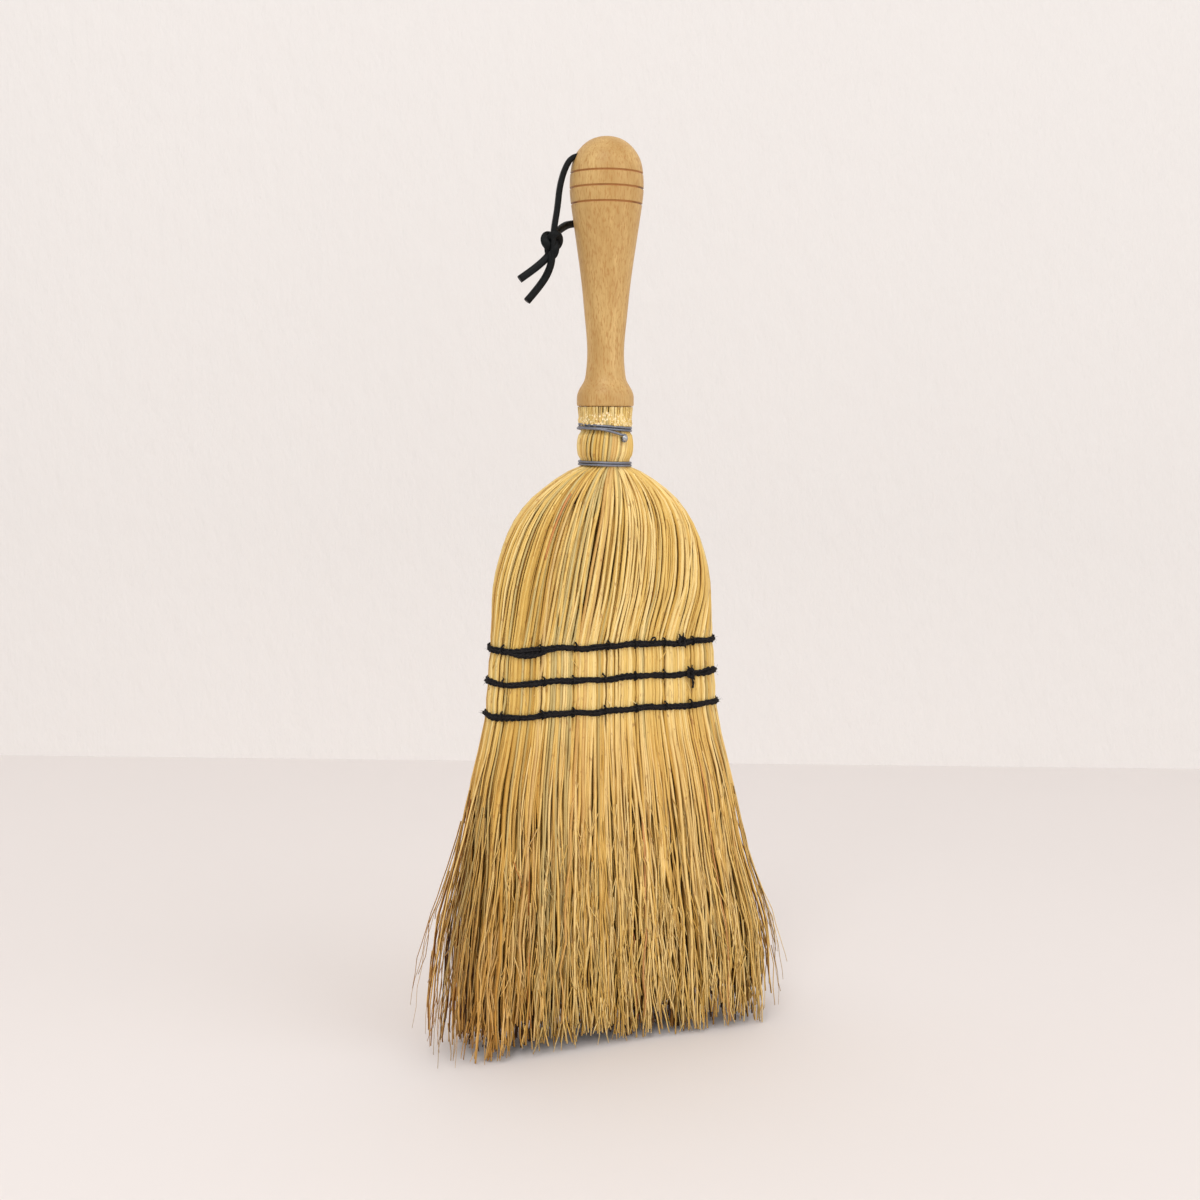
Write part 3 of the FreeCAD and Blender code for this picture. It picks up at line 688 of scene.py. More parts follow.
def sway(dice, runs, wave):
    """A smooth random sway down each strand, about -1 to 1."""
    count = len(runs)
    waves = wave * dice.uniform(0.6, 1.7, (count, 1, 3))
    phase = dice.uniform(0, TURN, (count, 1, 3))
    weight = dice.uniform(0.3, 1.0, (count, 1, 3))
    return (weight * np.sin(TURN * runs[..., None] / waves + phase)).sum(-1) / 2


class Straw:
    """Lays the broom's stalks, branches and fibres by zone."""

    def __init__(self, settings, twine):
        self.settings = settings
        self.outline = Outline(settings)
        self.rows = self.outline.rows
        self.dice = np.random.default_rng(STRAW_SEED)
        self.columns = np.array(twine.columns)
        self.bundles = [Bundle() for _ in ZONES]
        self.patterns = {}
        clumps = settings.clump_count
        self.clump_share = (np.arange(clumps) + self.dice.uniform(-0.32, 0.32, clumps)) / clumps
        self.clump_tip = 0.0002 + 0.0150 * self.dice.uniform(0, 1, clumps) ** 1.7
        self.clump_tone = self.dice.normal(0, 0.08, clumps)
        width, depth, _ = self.outline.read(self.outline.run_at(self.rows[-1]))
        self.flat_share = (width - depth) / (2 * (width - depth) + np.pi * depth) / 2

    def pattern(self, sides, rings):
        key = sides, rings
        if key not in self.patterns:
            self.patterns[key] = Pattern(sides, rings)
        return self.patterns[key]

    def zone_of(self, share):
        flat = self.flat_share
        limits = np.array([flat, 0.5 - flat, 0.5 + flat, 1 - flat])
        return np.searchsorted(limits, share - np.floor(share)) % len(ZONES)

    def down(self, count, stops, cuts):
        """Strands down through their stops: their runs, the perimeters, the heights and each ring's share."""
        runs = spread([self.outline.run_at(np.full(count, stop)) for stop in stops], cuts)
        free = np.linspace(0, 1, runs.shape[1])[None, :]
        return runs, self.outline.perimeter(runs), self.outline.read(runs)[2], free

    def lean(self, home, height):
        """How far round the stalks have turned at a height. The rows hold them, and they lean above."""
        settings, held = self.settings, self.rows[0]
        most = settings.lean + settings.uneven * np.sin(TURN * (home + 0.08))
        rise = np.clip((height - held) / (self.outline.neck_foot - 0.010 - held), 0, 1)
        wound = (height - settings.lower_wire) / (settings.upper_wire - settings.lower_wire)
        return most[:, None] * (1 - (1 - rise) ** 1.35) + 0.022 * np.clip(wound, 0, 1)

    def flare(self, home, height):
        """How much farther out the right end's tips reach, and the left end's tips less."""
        side = np.sin(TURN * home)[:, None]
        most = np.where(side > 0, FLARE_RIGHT, FLARE_LEFT)
        return most * side * np.abs(side) * ease(height, *FLARE_BAND)

    def pinch(self, height, share, perimeter):
        """How far the sewing draws the straw in, and how far it parts it at the stitch columns."""
        across = (share - np.rint(share)) * perimeter
        gaps = across[..., None] - self.columns
        nearest = np.take_along_axis(gaps, np.abs(gaps).argmin(-1)[..., None], -1)[..., 0]
        near = bell(nearest, STITCH_REACH)
        drawn = np.zeros_like(height)
        for row in self.rows:
            drawn = drawn + ROW_DRAW * bell(height - row, STITCH_REACH)
            drawn = drawn + STITCH_DRAW * near * bell(height - row, STITCH_RISE)
        low, high = self.outline.sewn_foot, self.rows[0]
        sewn = ease(height, low - 0.010, low) * ease(height, high + 0.012, high + 0.002)
        return drawn, PARTED * np.sign(nearest) * np.exp(-np.abs(nearest) / PARTED_REACH) * sewn

    def tints(self, share):
        """A tint for each strand: grey is commoner in two bands of the front."""
        tint = self.dice.uniform(0.16, 1, len(share))
        across = share - np.rint(share)
        band = np.zeros(len(share), bool)
        for low, high in GREY_BANDS:
            band |= (across > low) & (across < high)
        chance = np.where(band, 0.38, 0.03)
        return np.where(self.dice.uniform(size=len(share)) < chance, 0.05, tint)

    def lay(self, runs, share, inset, half_width, half_depth, sides, tone, tint, home, slant=None,
            splayed=None):
        """Adds strands to their zones. Most hang farther in than the tips' outline; a few splay out to it."""
        places, outward = self.outline.points(runs, share, inset)
        if splayed is None:
            splayed = self.dice.uniform(0, 1, len(runs)) ** 5
        settings = self.settings
        squeeze = np.where(places[..., 0] < 0, settings.squeeze_left, settings.squeeze_right)
        squeeze = squeeze * (1 - splayed[:, None]) * ease(places[..., 2], *HANG_BAND)
        places[..., 0] *= 1 - squeeze
        rings = sweep(places, outward, half_width, half_depth, sides)
        if slant is not None:
            angle = TURN * np.arange(sides) / sides
            fading = np.linspace(1, 0, rings.shape[1])[None, :, None]
            rings[..., 2] -= slant[:, None, None] * (0.5 + 0.5 * np.sin(angle)) * fading
        zones = self.zone_of(home)
        pattern = self.pattern(sides, runs.shape[1])
        tone = np.clip(tone, 0, 1)
        for zone, bundle in enumerate(self.bundles):
            chosen = zones == zone
            bundle.add(pattern, rings[chosen], tone[chosen], tint[chosen], runs[chosen])

    def stalks(self, layer):
        """Stalks from the upper wire to the tips. At the neck they lie in four depths."""
        dice, outline, settings = self.dice, self.outline, self.settings
        count = settings.stalk_count
        home = (np.arange(count) + 0.5 * layer + dice.uniform(-0.34, 0.34, count)) / count
        depth_at_neck = dice.permuted(np.tile([0, 1, 2, 3], (count // 4, 1)), axis=1).ravel()
        clump, _ = self.clump_of(home)
        foot = self.clump_tip[clump] + dice.gamma(1.1, 0.0055, count)
        top = settings.upper_wire - 0.0065 * layer
        stops = (top, outline.neck_foot, settings.shoulder, outline.sewn_foot, foot)
        runs, perimeter, height, _ = self.down(count, stops, (9, 10, 11, 11))
        fan = ease(height, outline.neck_foot, outline.neck_foot - 0.028)
        skirt = ease(height, outline.sewn_foot, 0.02)
        at_row = bell(height - self.rows[1], 0.022)
        # Sideways: they sway in the fan and more in the skirt, and some stray between the rows and the neck.
        side = sway(dice, runs, 0.12) * (0.00012 + 0.0005 * fan * (1 - 0.75 * at_row))
        side += sway(dice, runs, 0.050) * 0.0022 * skirt + dice.normal(0, 0.0030, (count, 1)) * skirt
        rise = np.clip((height - self.rows[0]) / (outline.neck_foot - self.rows[0]), 0, 1)
        astray = dice.normal(0, 0.0042, (count, 1)) * np.sin(np.pi * rise)
        share = home[:, None] + self.lean(home, height) + astray + side / perimeter
        # Thickness: they are pressed wider at the rows, and thinner in the skirt and towards their tips.
        wide = np.exp(dice.normal(0, 0.22, (count, 1)))
        half = (STALK_HALF - 0.00008 * fan) * (1 + 0.22 * at_row) * (1 - 0.28 * skirt) * wide
        half = half * (1 - 0.35 * ease(runs, runs[:, -1:] - 0.045, runs[:, -1:]))
        # Depth: some lie lower in the fan, the sewing draws them in, and the second layer lies deeper.
        recess = dice.gamma(1.2, 0.00026, (count, 1)) * fan * (1 - 0.7 * at_row)
        recess = recess + 0.0003 * fan * sway(dice, runs, 0.09)
        drawn, parted = self.pinch(height, share, perimeter)
        share = share + parted / perimeter
        inset = (1.0 - 0.5 * fan) * half + recess + drawn - self.flare(home, height)
        inset = inset + depth_at_neck[:, None] * (0.00070 * (1 - fan) + 0.00008 * fan)
        inset = inset + layer * (0.0014 + 0.0040 * (1 - fan) + 0.0050 * skirt)
        inset = inset + skirt * dice.normal(0.0010, 0.0016, (count, 1))
        # Tone, with painted shade: darker in the second layer, where a stalk lies low in the fan, and in one
        # stretch on the left.
        tone = 0.43 + 0.60 * dice.beta(2.0, 1.3, count) - 0.22 * layer - 150 * recess[:, 20]
        tone = tone - 0.17 * bell(home - np.rint(home) + 0.19, 0.05)
        thick = half * dice.uniform(0.80, 1.05, (count, 1))
        self.lay(runs, share, inset, half, thick, STALK_SIDES, tone, self.tints(home), home)

    def core(self, count=64):
        """Thick inner stalks, which close the straw behind the outer ones. Their dark tone is painted shade.
        """
        outline, settings = self.outline, self.settings
        home = np.arange(count) / count
        stops = (settings.collar - 0.0005, outline.neck_foot, settings.shoulder, outline.sewn_foot, CORE_FOOT)
        runs, perimeter, height, _ = self.down(count, stops, (8, 10, 8, 10))
        share = home[:, None] + self.lean(home, height)
        half = 0.62 * perimeter / count
        inset = 0.0046 + 0.0085 * ease(height, outline.sewn_foot, CORE_FOOT)
        inset = inset - 0.0020 * ease(height, outline.neck_foot - 0.02, outline.neck_foot)
        # Dark tone: painted shade inside the straw.
        tone = self.dice.uniform(0.08, 0.28, count)
        self.lay(runs, share, inset, half, np.full_like(half, 0.0012), STALK_SIDES, tone,
                 np.full(count, 0.5), home, splayed=np.zeros(count))

    def stubs(self):
        """Cut ends in five tiers between the upper wire and the collar."""
        dice, settings = self.dice, self.settings
        count, wire = settings.stub_count, settings.upper_wire
        for tier, (drop, inset) in enumerate(STUB_TIERS):
            home = (np.arange(count) + tier * 0.37 + dice.uniform(-0.3, 0.3, count)) / count
            uneven = min(drop, 0.0013)
            top = settings.collar - np.maximum(drop + dice.uniform(-uneven, uneven, count), 0.0001)
            foot = wire - 0.0004
            runs, _, height, _ = self.down(count, (top, foot), (4,))
            half = np.full(runs.shape, STUB_HALF) * dice.uniform(0.8, 1.2, (count, 1))
            foot_in = ease(height, wire + 0.0032, wire + 0.0008)
            deep = inset + 0.0014 * foot_in + dice.uniform(0, 0.0003, (count, 1))
            share = home[:, None] + settings.lean + sway(dice, runs, 0.03) * 0.004
            tone, tint = dice.uniform(0.6, 1.0, count), self.tints(home)
            slant = np.minimum(uneven * dice.uniform(1.1, 2.4, count), 0.6 * (top - foot))
            self.lay(runs, share, deep, half, half * 0.9, STUB_SIDES, tone, tint, home, slant)

    def clump_of(self, share):
        """The clump nearest to each strand, and the way round to it."""
        gap = share[:, None] - self.clump_share
        gap = gap - np.rint(gap)
        nearest = np.abs(gap).argmin(1)
        return nearest, -gap[np.arange(len(share)), nearest]

    def scattered(self, count):
        """Places round the skirt: at random, and fewer at the two ends."""
        home = self.dice.uniform(0, 1, 4 * count)
        kept = self.dice.uniform(0, 1, 4 * count) > 0.72 * np.abs(np.sin(TURN * home)) ** 3
        return home[kept][:count]

    def skirt(self, start, rings, sides, deepest, half_most, half_tip, pull, wave, reach):
        """Branches or fibres that leave the stalks at their start heights and run to the tips."""
        dice, count = self.dice, len(start)
        home = self.scattered(count)
        level = dice.beta(1.1, 1.3, count)
        clump, toward = self.clump_of(home)
        tip = np.minimum(self.clump_tip[clump] + dice.gamma(1.1, 0.0038, count), start - 0.025)
        runs, perimeter, height, free = self.down(count, (start, tip), (rings - 1,))
        side = dice.normal(0, reach, (count, 1)) * free**1.5
        side = side + sway(dice, runs, wave) * (0.0001 + 0.0023 * free)
        share = home[:, None] + pull * (toward[:, None] * ease(height, *CLUMP_BAND)) + side / perimeter
        inset = level[:, None] * deepest * (0.40 + 0.60 * ease(height, *DEEP_BAND)) + 0.0005
        inset = inset + sway(dice, runs, wave) * (0.0001 + 0.0014 * free) - self.flare(home, height)
        inset = inset - dice.gamma(1.1, 0.0005, (count, 1)) * free**2
        half = half_most * np.exp(dice.normal(0, 0.25, (count, 1))) * (1 - free) + half_tip * free
        half = half * (0.25 + 0.75 * ease(free, 0, 0.16))
        # Tone falls the deeper a strand lies: painted shade.
        tone = 0.56 + 0.76 * dice.beta(2.0, 1.5, count) - 2.10 * level + self.clump_tone[clump]
        self.lay(runs, share, inset, half, half * 0.9, sides, tone, self.tints(home), home)

    def twigs(self, start, longest, lift):
        """Short crinkled side twigs that leave the straw at their start heights."""
        dice, count = self.dice, len(start)
        home = dice.uniform(0, 1, count)
        reach = np.minimum(dice.uniform(0.28, 1.0, count) * longest, start - 0.002)
        runs, perimeter, height, free = self.down(count, (start, start - reach), (5,))
        side = dice.choice([-1, 1], (count, 1)) * dice.uniform(0.001, 0.0055, (count, 1)) * free
        side = side + sway(dice, runs, 0.012) * 0.0010 * free
        share = home[:, None] + side / perimeter
        inset = 0.0008 - dice.uniform(0.1, 1.0, (count, 1)) * lift * free
        inset = inset + sway(dice, runs, 0.012) * 0.0006 * free - self.flare(home, height)
        half = TWIG_HALF * (1 - 0.40 * free) * np.exp(dice.normal(0, 0.2, (count, 1)))
        tone = dice.uniform(0.45, 1.0, count)
        self.lay(runs, share, inset, half, half, TWIG_SIDES, tone, self.tints(home), home)

    def strays(self, count):
        """Long fibres that stand off at both ends."""
        dice = self.dice
        right = np.arange(count) % 2
        home = np.where(right, 0.25, 0.75) + dice.uniform(-0.075, 0.075, count)
        start = dice.uniform(0.065, 0.125, count)
        tip = dice.uniform(0.002, 0.040, count)
        runs, perimeter, height, free = self.down(count, (start, tip), (11,))
        most = np.where(right, 0.0050, 0.0105)[:, None]
        share = home[:, None] + sway(dice, runs, 0.03) * 0.0016 * free / perimeter
        inset = 0.0006 - most * dice.uniform(0.1, 1.0, (count, 1)) * free**1.3 - self.flare(home, height)
        inset = inset + sway(dice, runs, 0.022) * 0.0011 * free
        half = STRAY_HALF * (1 - 0.6 * free) * np.exp(dice.normal(0, 0.2, (count, 1)))
        tone, tint = dice.uniform(0.45, 0.95, count), self.tints(home)
        self.lay(runs, share, inset, half, half, TWIG_SIDES, tone, tint, home,
                 splayed=dice.uniform(0.5, 1.0, count))

    def crossers(self, count=16):
        """A few thin stalks that lie across the fan's others, and one short orange one."""
        dice = self.dice
        home = dice.uniform(-0.24, 0.24, count) + np.where(np.arange(count) % 3, 0, 0.5)
        start = np.full(count, self.outline.neck_foot - 0.0004)
        foot = dice.uniform(0.18, 0.21, count)
        tint = self.tints(home)
        home[0], start[0], foot[0], tint[0] = ORANGE_STALK
        runs, _, height, free = self.down(count, (start, foot), (13,))
        share = home[:, None] + self.lean(home, height) + dice.normal(0, 0.02, (count, 1)) * free
        share[0] = home[0] + self.lean(home, height)[0]
        half = np.full(runs.shape, CROSSER_HALF) * (1 - 0.3 * free)
        inset = 0.0006 - 0.0006 * np.sin(np.pi * free)
        tone = dice.uniform(0.3, 1.0, count)
        self.lay(runs, share, inset, half, half * 0.8, STALK_SIDES, tone, tint, home)


class LayStraw(bpy.types.Operator):
    """Lay the stalks, branches and fibres of the straw head"""

    bl_idname = "broom.lay_straw"
    bl_label = "Lay straw"

    def execute(self, context):
        settings = context.scene.broom_straw
        straw = Straw(settings, context.scene.broom_twine)
        for layer in (0, 1):
            straw.stalks(layer)
        straw.core()
        straw.stubs()
        straw.crossers()
        dice = straw.dice
        high = straw.rows[-1]
        part = 1.5 * dice.beta(1.6, 1.2, settings.branch_count)
        start = np.minimum(BRANCH_LOW + (high - BRANCH_LOW) * part, high)
        straw.skirt(start, rings=14, sides=4, deepest=0.015, half_most=0.00054, half_tip=0.00042, pull=0.55,
                    wave=0.038, reach=0.0044)
        start = FIBRE_LOW + FIBRE_STARTS * dice.beta(1.4, 1.2, settings.fibre_count)
        straw.skirt(start, rings=12, sides=3, deepest=0.010, half_most=0.00036, half_tip=0.00026, pull=0.66,
                    wave=0.022, reach=0.0052)
        start = TWIG_LOW + TWIG_STARTS * dice.beta(1.3, 1.6, settings.twig_count)
        straw.twigs(start, longest=0.026, lift=0.0022)
        start = dice.uniform(straw.rows[-1], straw.rows[0], settings.chip_count)
        straw.twigs(start, longest=0.009, lift=0.0008)
        straw.strays(settings.stray_count)
        material = straw_material(settings)
        for zone, bundle in zip(ZONES, straw.bundles):
            piece = bundle.piece(f"straw_{zone}", material)
            nodes = [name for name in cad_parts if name.startswith("straw_") and zone in name]
            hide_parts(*nodes)
            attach(piece, "broom")
        return {"FINISHED"}


# Stitching

TWINE_SEED = 70
BAND_DIP = 0.0006

# How far the middle of a ply is from the strand's, and half its width, both of the strand's radius.
PLY_OFF, PLY_HALF = 0.44, 0.64
PLY_SIDES = 5

# Steps along a strand, and points of a band all the way round.
RING_STEP, BAND_POINTS = 0.0009, 420


class Sewing:
    """Lays the twine of one row on the straw."""

    def __init__(self, settings, outline, height, dice):
        self.settings, self.outline, self.height, self.dice = settings, outline, height, dice
        self.bundle = Bundle()
        self.perimeter = float(outline.perimeter(outline.run_at(height)))

    def places(self, across, rise, out):
        """Points so far to the right of the front's middle, above the row and out from the straw."""
        across, rise, out = np.broadcast_arrays(across, rise, out)
        run = self.outline.run_at(self.height + rise)
        return self.outline.points(run, across / self.perimeter, -out)

    def strand(self, across, rise, out, thickness=1.0, lay=0.0048):
        """A strand of two plies along a path."""
        places, outward = self.places(across, rise, out)
        steps = np.linalg.norm(np.diff(places, axis=0), axis=1)
        along = np.concatenate([[0], np.cumsum(steps)])
        count = max(int(along[-1] / RING_STEP), 5)
        even = np.linspace(0, along[-1], count)
        places, outward = (
            np.stack([np.interp(even, along, column) for column in values.T], axis=1)
            for values in (places, outward))
        forward = unit(np.gradient(places, axis=0))
        outward = unit(outward - (outward * forward).sum(-1, keepdims=True) * forward)
        across_way = np.cross(forward, outward)
        radius = self.settings.strand * thickness
        start = self.dice.uniform(0, TURN)
        rough = 1 + 0.10 * np.sin(TURN * even / 0.0037 + start) + self.dice.normal(0, 0.05, count)
        for ply in range(2):
            turn = start + TURN * even / lay + ply * math.pi
            middle = places + PLY_OFF * radius * (
                np.cos(turn)[:, None] * across_way + np.sin(turn)[:, None] * outward)
            half = (PLY_HALF * radius * rough)[None, :]
            half[0, [0, -1]] *= 0.6
            rings = sweep(middle[None], outward[None], half, half, PLY_SIDES)
            self.bundle.add(Pattern(PLY_SIDES, count), rings, 0.5, 0.5, even[None])
        return places, outward

    def dip(self, across):
        """How far the stitches draw the band in at their columns."""
        near = np.abs(across[:, None] - self.settings.columns).min(1)
        return BAND_DIP * bell(near, STITCH_REACH)

    def band(self):
        """Two strands side by side and one over them, all the way round the fan."""
        across = np.linspace(0.5, 1.5, BAND_POINTS) * self.perimeter
        flat = (across / self.perimeter - np.rint(across / self.perimeter)) * self.perimeter
        wave = 0.00035 * np.sin(TURN * across / 0.041 + self.height * 900)
        wave = wave + 0.00022 * np.sin(TURN * across / 0.017)
        kept = []
        strands = ((0.00078, 0.00025, 1.0), (-0.00078, 0.00025, 1.0), (0.0, 0.00095, 0.9))
        for level, lift, thickness in strands:
            turn = TURN * across / 0.024 + level * 9000 + self.height * 300
            rise = wave + level + 0.00014 * np.sin(turn)
            out = lift + 0.00016 * np.cos(turn) - self.dip(flat)
            kept.append(self.strand(across, rise, out, thickness))
        return kept

    def stitch(self, across, slope, tall=0.0023, thickness=0.52):
        """One loop over the band, from inside the straw below it to inside above it."""
        turn = np.linspace(-1, 1, 13)
        rise = tall * turn + 0.0003
        out = 0.0021 - 0.0040 * np.abs(turn) ** 2.4
        self.strand(across + slope * turn, rise, out, thickness, lay=0.005)

    def tail(self, across, rise, out, thickness):
        """A loose end or loop through places in millimetres."""
        self.strand(np.array(across) * MM, np.array(rise) * MM, np.array(out) * MM, thickness, lay=0.005)

    def hairs(self, kept, count):
        """Loose hairs of the worn twine."""
        dice = self.dice
        source = np.concatenate([places for places, _ in kept])
        way = np.concatenate([outward for _, outward in kept])
        chosen = dice.integers(0, len(source), count)
        lift = unit(way[chosen] * dice.uniform(0.2, 1.0, (count, 1)) + dice.normal(0, 0.75, (count, 3)))
        bend = unit(dice.normal(0, 1, (count, 3)))
        size = dice.uniform(0.0010, 0.0027, (count, 1, 1))
        free = np.linspace(0, 1, 4)[None, :, None]
        places = source[chosen][:, None] + lift[:, None] * size * free
        places = places + bend[:, None] * size * 0.45 * free**2
        half = np.full((count, 4), 0.00007) * (1 - 0.6 * free[..., 0])
        rings = sweep(places, np.broadcast_to(bend[:, None], places.shape), half, half, 3)
        self.bundle.add(Pattern(3, 4), rings, 0.8, 0.5, np.zeros((count, 4)))


class SewRows(bpy.types.Operator):
    """Sew the three rows of black twine"""

    bl_idname = "broom.sew_rows"
    bl_label = "Sew rows"

    def execute(self, context):
        settings = context.scene.broom_twine
        outline = Outline(context.scene.broom_straw)
        material = twine_material(settings)
        for number, height in enumerate(outline.rows, 1):
            sewing = Sewing(settings, outline, height, np.random.default_rng(TWINE_SEED + number))
            kept = sewing.band()
            for column in settings.columns:
                jitter = sewing.dice.uniform(-0.0012, 0.0012)
                sewing.stitch(column + jitter, sewing.dice.uniform(-0.0006, 0.0003))
                sewing.stitch(sewing.perimeter / 2 - column + jitter, sewing.dice.uniform(-0.0003, 0.0006))
            if number == 1:
                self.bulge(sewing)
                self.knot(sewing, 34.8, 0.6)
                sewing.tail(*TOP_LOOP, thickness=0.5)
            elif number == 2:
                self.knot(sewing, 39.6, 0.2)
                sewing.tail(*SIDE_TAIL, thickness=0.7)
                sewing.tail(*HANGING_TAIL, thickness=0.7)
            sewing.hairs(kept, settings.hair_count)
            piece = sewing.bundle.piece(f"row_{number}_twine", material)
            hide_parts(f"row_{number}_binding", f"row_{number}_stitching")
            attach(piece, "broom")
        return {"FINISHED"}

    def bulge(self, sewing):
        """The doubled twine that hangs under the top row on the left."""
        along = np.linspace(-53.5, -32.5, 26) * MM
        share = np.linspace(0, 1, 26)
        for drop, out in ((1.7, 1.0), (2.9, 0.8), (2.2, 1.9)):
            rise = -drop * MM * np.sin(np.pi * share) ** 0.7
            sewing.strand(along, rise, out * MM * np.sin(np.pi * share) ** 0.5 - 0.0004, 0.95)

    def knot(self, sewing, across, rise):
        """A small knot on the band with frayed ends."""
        turn = np.linspace(0, 2.3 * TURN, 40)
        sewing.strand(
            across * MM + 0.0013 * np.cos(turn) + 0.0004 * np.sin(0.5 * turn),
            rise * MM + 0.0019 * np.sin(turn),
            0.0012 + 0.0009 * np.sin(1.5 * turn), 0.9)
        for lean, up in ((-1.6, 3.6), (0.8, 4.0), (1.9, -3.2)):
            sewing.tail((across, across + 0.5 * lean, across + lean), (rise, rise + 0.55 * up, rise + up),
                        (1.2, 1.9, 1.5), 0.5)


# Wire

# Where both windings start, the step of their points and where the tilted one is lowest, in degrees.
WIND_FROM, WIND_STEP, LOWEST = 75, 9.0, -25

# Turns of each band, the distance between turns in radii of the wire, and how the ends sink in.
LOWER_TURNS, UPPER_TURNS, TURN_PITCH = 2.06, 2, 2.04
SUNK = np.array([0.90, 0.90, 1])


def smooth_curve(name, places, order, resolution):
    """A curve object whose points draw a smooth line."""
    curve = bpy.data.curves.new(name, "CURVE")
    curve.dimensions = "3D"
    curve.resolution_u = resolution
    spline = curve.splines.new("NURBS")
    spline.points.add(len(places) - 1)
    for point, place in zip(spline.points, places):
        point.co = (*place, 1)
    spline.order_u = order
    spline.use_endpoint_u = True
    made = bpy.data.objects.new(name, curve)
    bpy.context.scene.collection.objects.link(made)
    return made


def wire_piece(name, places, radius, material):
    """A wire along a smooth path of points, as a tube."""
    made = smooth_curve(name, places, order=4, resolution=4)
    made.data.bevel_depth = radius
    made.data.bevel_resolution = 2
    made.data.use_fill_caps = True
    bpy.ops.object.select_all(action="DESELECT")
    made.select_set(True)
    bpy.context.view_layer.objects.active = made
    bpy.ops.object.convert(target="MESH")
    made = bpy.context.active_object
    made.data.materials.clear()
    made.data.materials.append(material)
    bpy.ops.object.shade_smooth()
    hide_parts(name)
    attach(made, "broom")


class WindWires(bpy.types.Operator):
    """Wind the two wire bands and finish the nail"""

    bl_idname = "broom.wind_wires"
    bl_label = "Wind wires"

    def execute(self, context):
        settings = context.scene.broom_wire
        straw = context.scene.broom_straw
        outline = Outline(straw)
        galvanised = metal("galvanised_wire", settings.grey, roughness=0.42, wear=0.5)
        radius = straw.wired / 2 + settings.radius + 0.0001
        lower = self.turns(straw.lower_wire, radius, WIND_FROM + LOWER_TURNS * 360, settings, 0.0)
        ends = lower[[0, -1]] * SUNK
        places = np.concatenate([ends[:1], lower, ends[1:]])
        wire_piece("lower_wire_band", places, settings.radius, galvanised)
        end = math.degrees(settings.leave_angle) + UPPER_TURNS * 360
        upper = self.turns(straw.upper_wire, radius, end, settings, settings.tilt)
        # The last points rise over the turn beside them.
        rising = ease(np.arange(len(upper), 0, -1.0), 13, 3)[:, None]
        over = 1.9 * settings.radius
        upper = upper + rising * np.array([0, 0, 0.0009])
        upper[:, :2] *= 1 + rising * over / radius
        hook = self.hook(outline, radius, over, upper[-1, 2], settings)
        places = np.concatenate([upper[:1] * SUNK, upper, hook])
        wire_piece("upper_wire_band", places, settings.radius, galvanised)
        steel = metal("nail_steel", settings.bright, roughness=0.24, wear=0.25)
        finish_node("wire_nail", steel)
        return {"FINISHED"}

    def turns(self, height, radius, end, settings, tilt):
        """Points of a winding whose turns lie side by side, up to an end angle."""
        angle = np.radians(np.arange(WIND_FROM, end + 0.1, WIND_STEP))
        share = np.linspace(-0.5, 0.5, len(angle))
        level = height - share * (end - WIND_FROM) / 360 * TURN_PITCH * settings.radius
        level = level - tilt * np.cos(angle - math.radians(LOWEST)) * radius
        reach = radius * (1 + 0.006 * np.sin(5 * angle))
        return np.stack([reach * np.cos(angle), reach * np.sin(angle), level], axis=1)

    def hook(self, outline, radius, over, begin, settings):
        """The upper band's free end, which crosses the band and hooks round the nail."""
        leave, nail = settings.leave_angle, settings.nail_angle
        out = float(outline.read(outline.run_at(settings.nail_height))[0]) / 2 + settings.radius + 0.0003
        free = np.linspace(0, 1, 9)[1:]
        angle = leave + (nail - math.radians(6) - leave) * free
        bend = 0.00145
        level = begin + (settings.nail_height + bend - begin) * free**1.5
        reach = radius + over * (1 - free**2) + (out - radius) * free**2
        run = np.stack([reach * np.cos(angle), reach * np.sin(angle), level], axis=1)
        outward = np.array([math.cos(nail), math.sin(nail), 0])
        along = np.array([-math.sin(nail), math.cos(nail), 0])
        turn = np.radians(np.arange(90, -160, -30))
        middle = outward * out + np.array([0, 0, settings.nail_height])
        loop = middle + bend * (np.cos(turn)[:, None] * along + np.sin(turn)[:, None] * np.array([0, 0, 1]))
        return np.concatenate([run, loop])


# Thong

# From the broom's axis to the mouths of the cross hole and to the knot, and the knot's drop below the hole.
MOUTH_OUT, KNOT_OUT, KNOT_DROP = 0.0145, 0.0258, 0.0395

# The knot's size across, up and towards the camera, in millimetres.
KNOT_WIDE, KNOT_TALL, KNOT_DEEP = 1.16, 1.80, 1.9
LACE_SIDES = 12


def route_line(name, route, height, angle):
    """The points of the smooth line that a route's points give."""
    places = turned(np.array(route), angle) * MM + np.array([0, 0, height])
    holder = smooth_curve(name, places, order=3, resolution=8)
    curve = holder.data
    mesh = bpy.data.meshes.new_from_object(holder)
    line = np.array([vertex.co for vertex in mesh.vertices])
    bpy.data.objects.remove(holder)
    bpy.data.curves.remove(curve)
    bpy.data.meshes.remove(mesh)
    return line


def carried(line, first):
    """A direction carried along a line without twisting about it."""
    forward = unit(np.gradient(line, axis=0))
    kept = []
    way = np.array(first, float)
    for step in forward:
        way = way - step * (way @ step)
        way = way / np.linalg.norm(way)
        kept.append(way)
    return np.array(kept)


def turned(places, angle):
    """Places turned about the broom's axis."""
    across, through = math.cos(angle), math.sin(angle)
    return places @ np.array([[across, through, 0], [-through, across, 0], [0, 0, 1]])


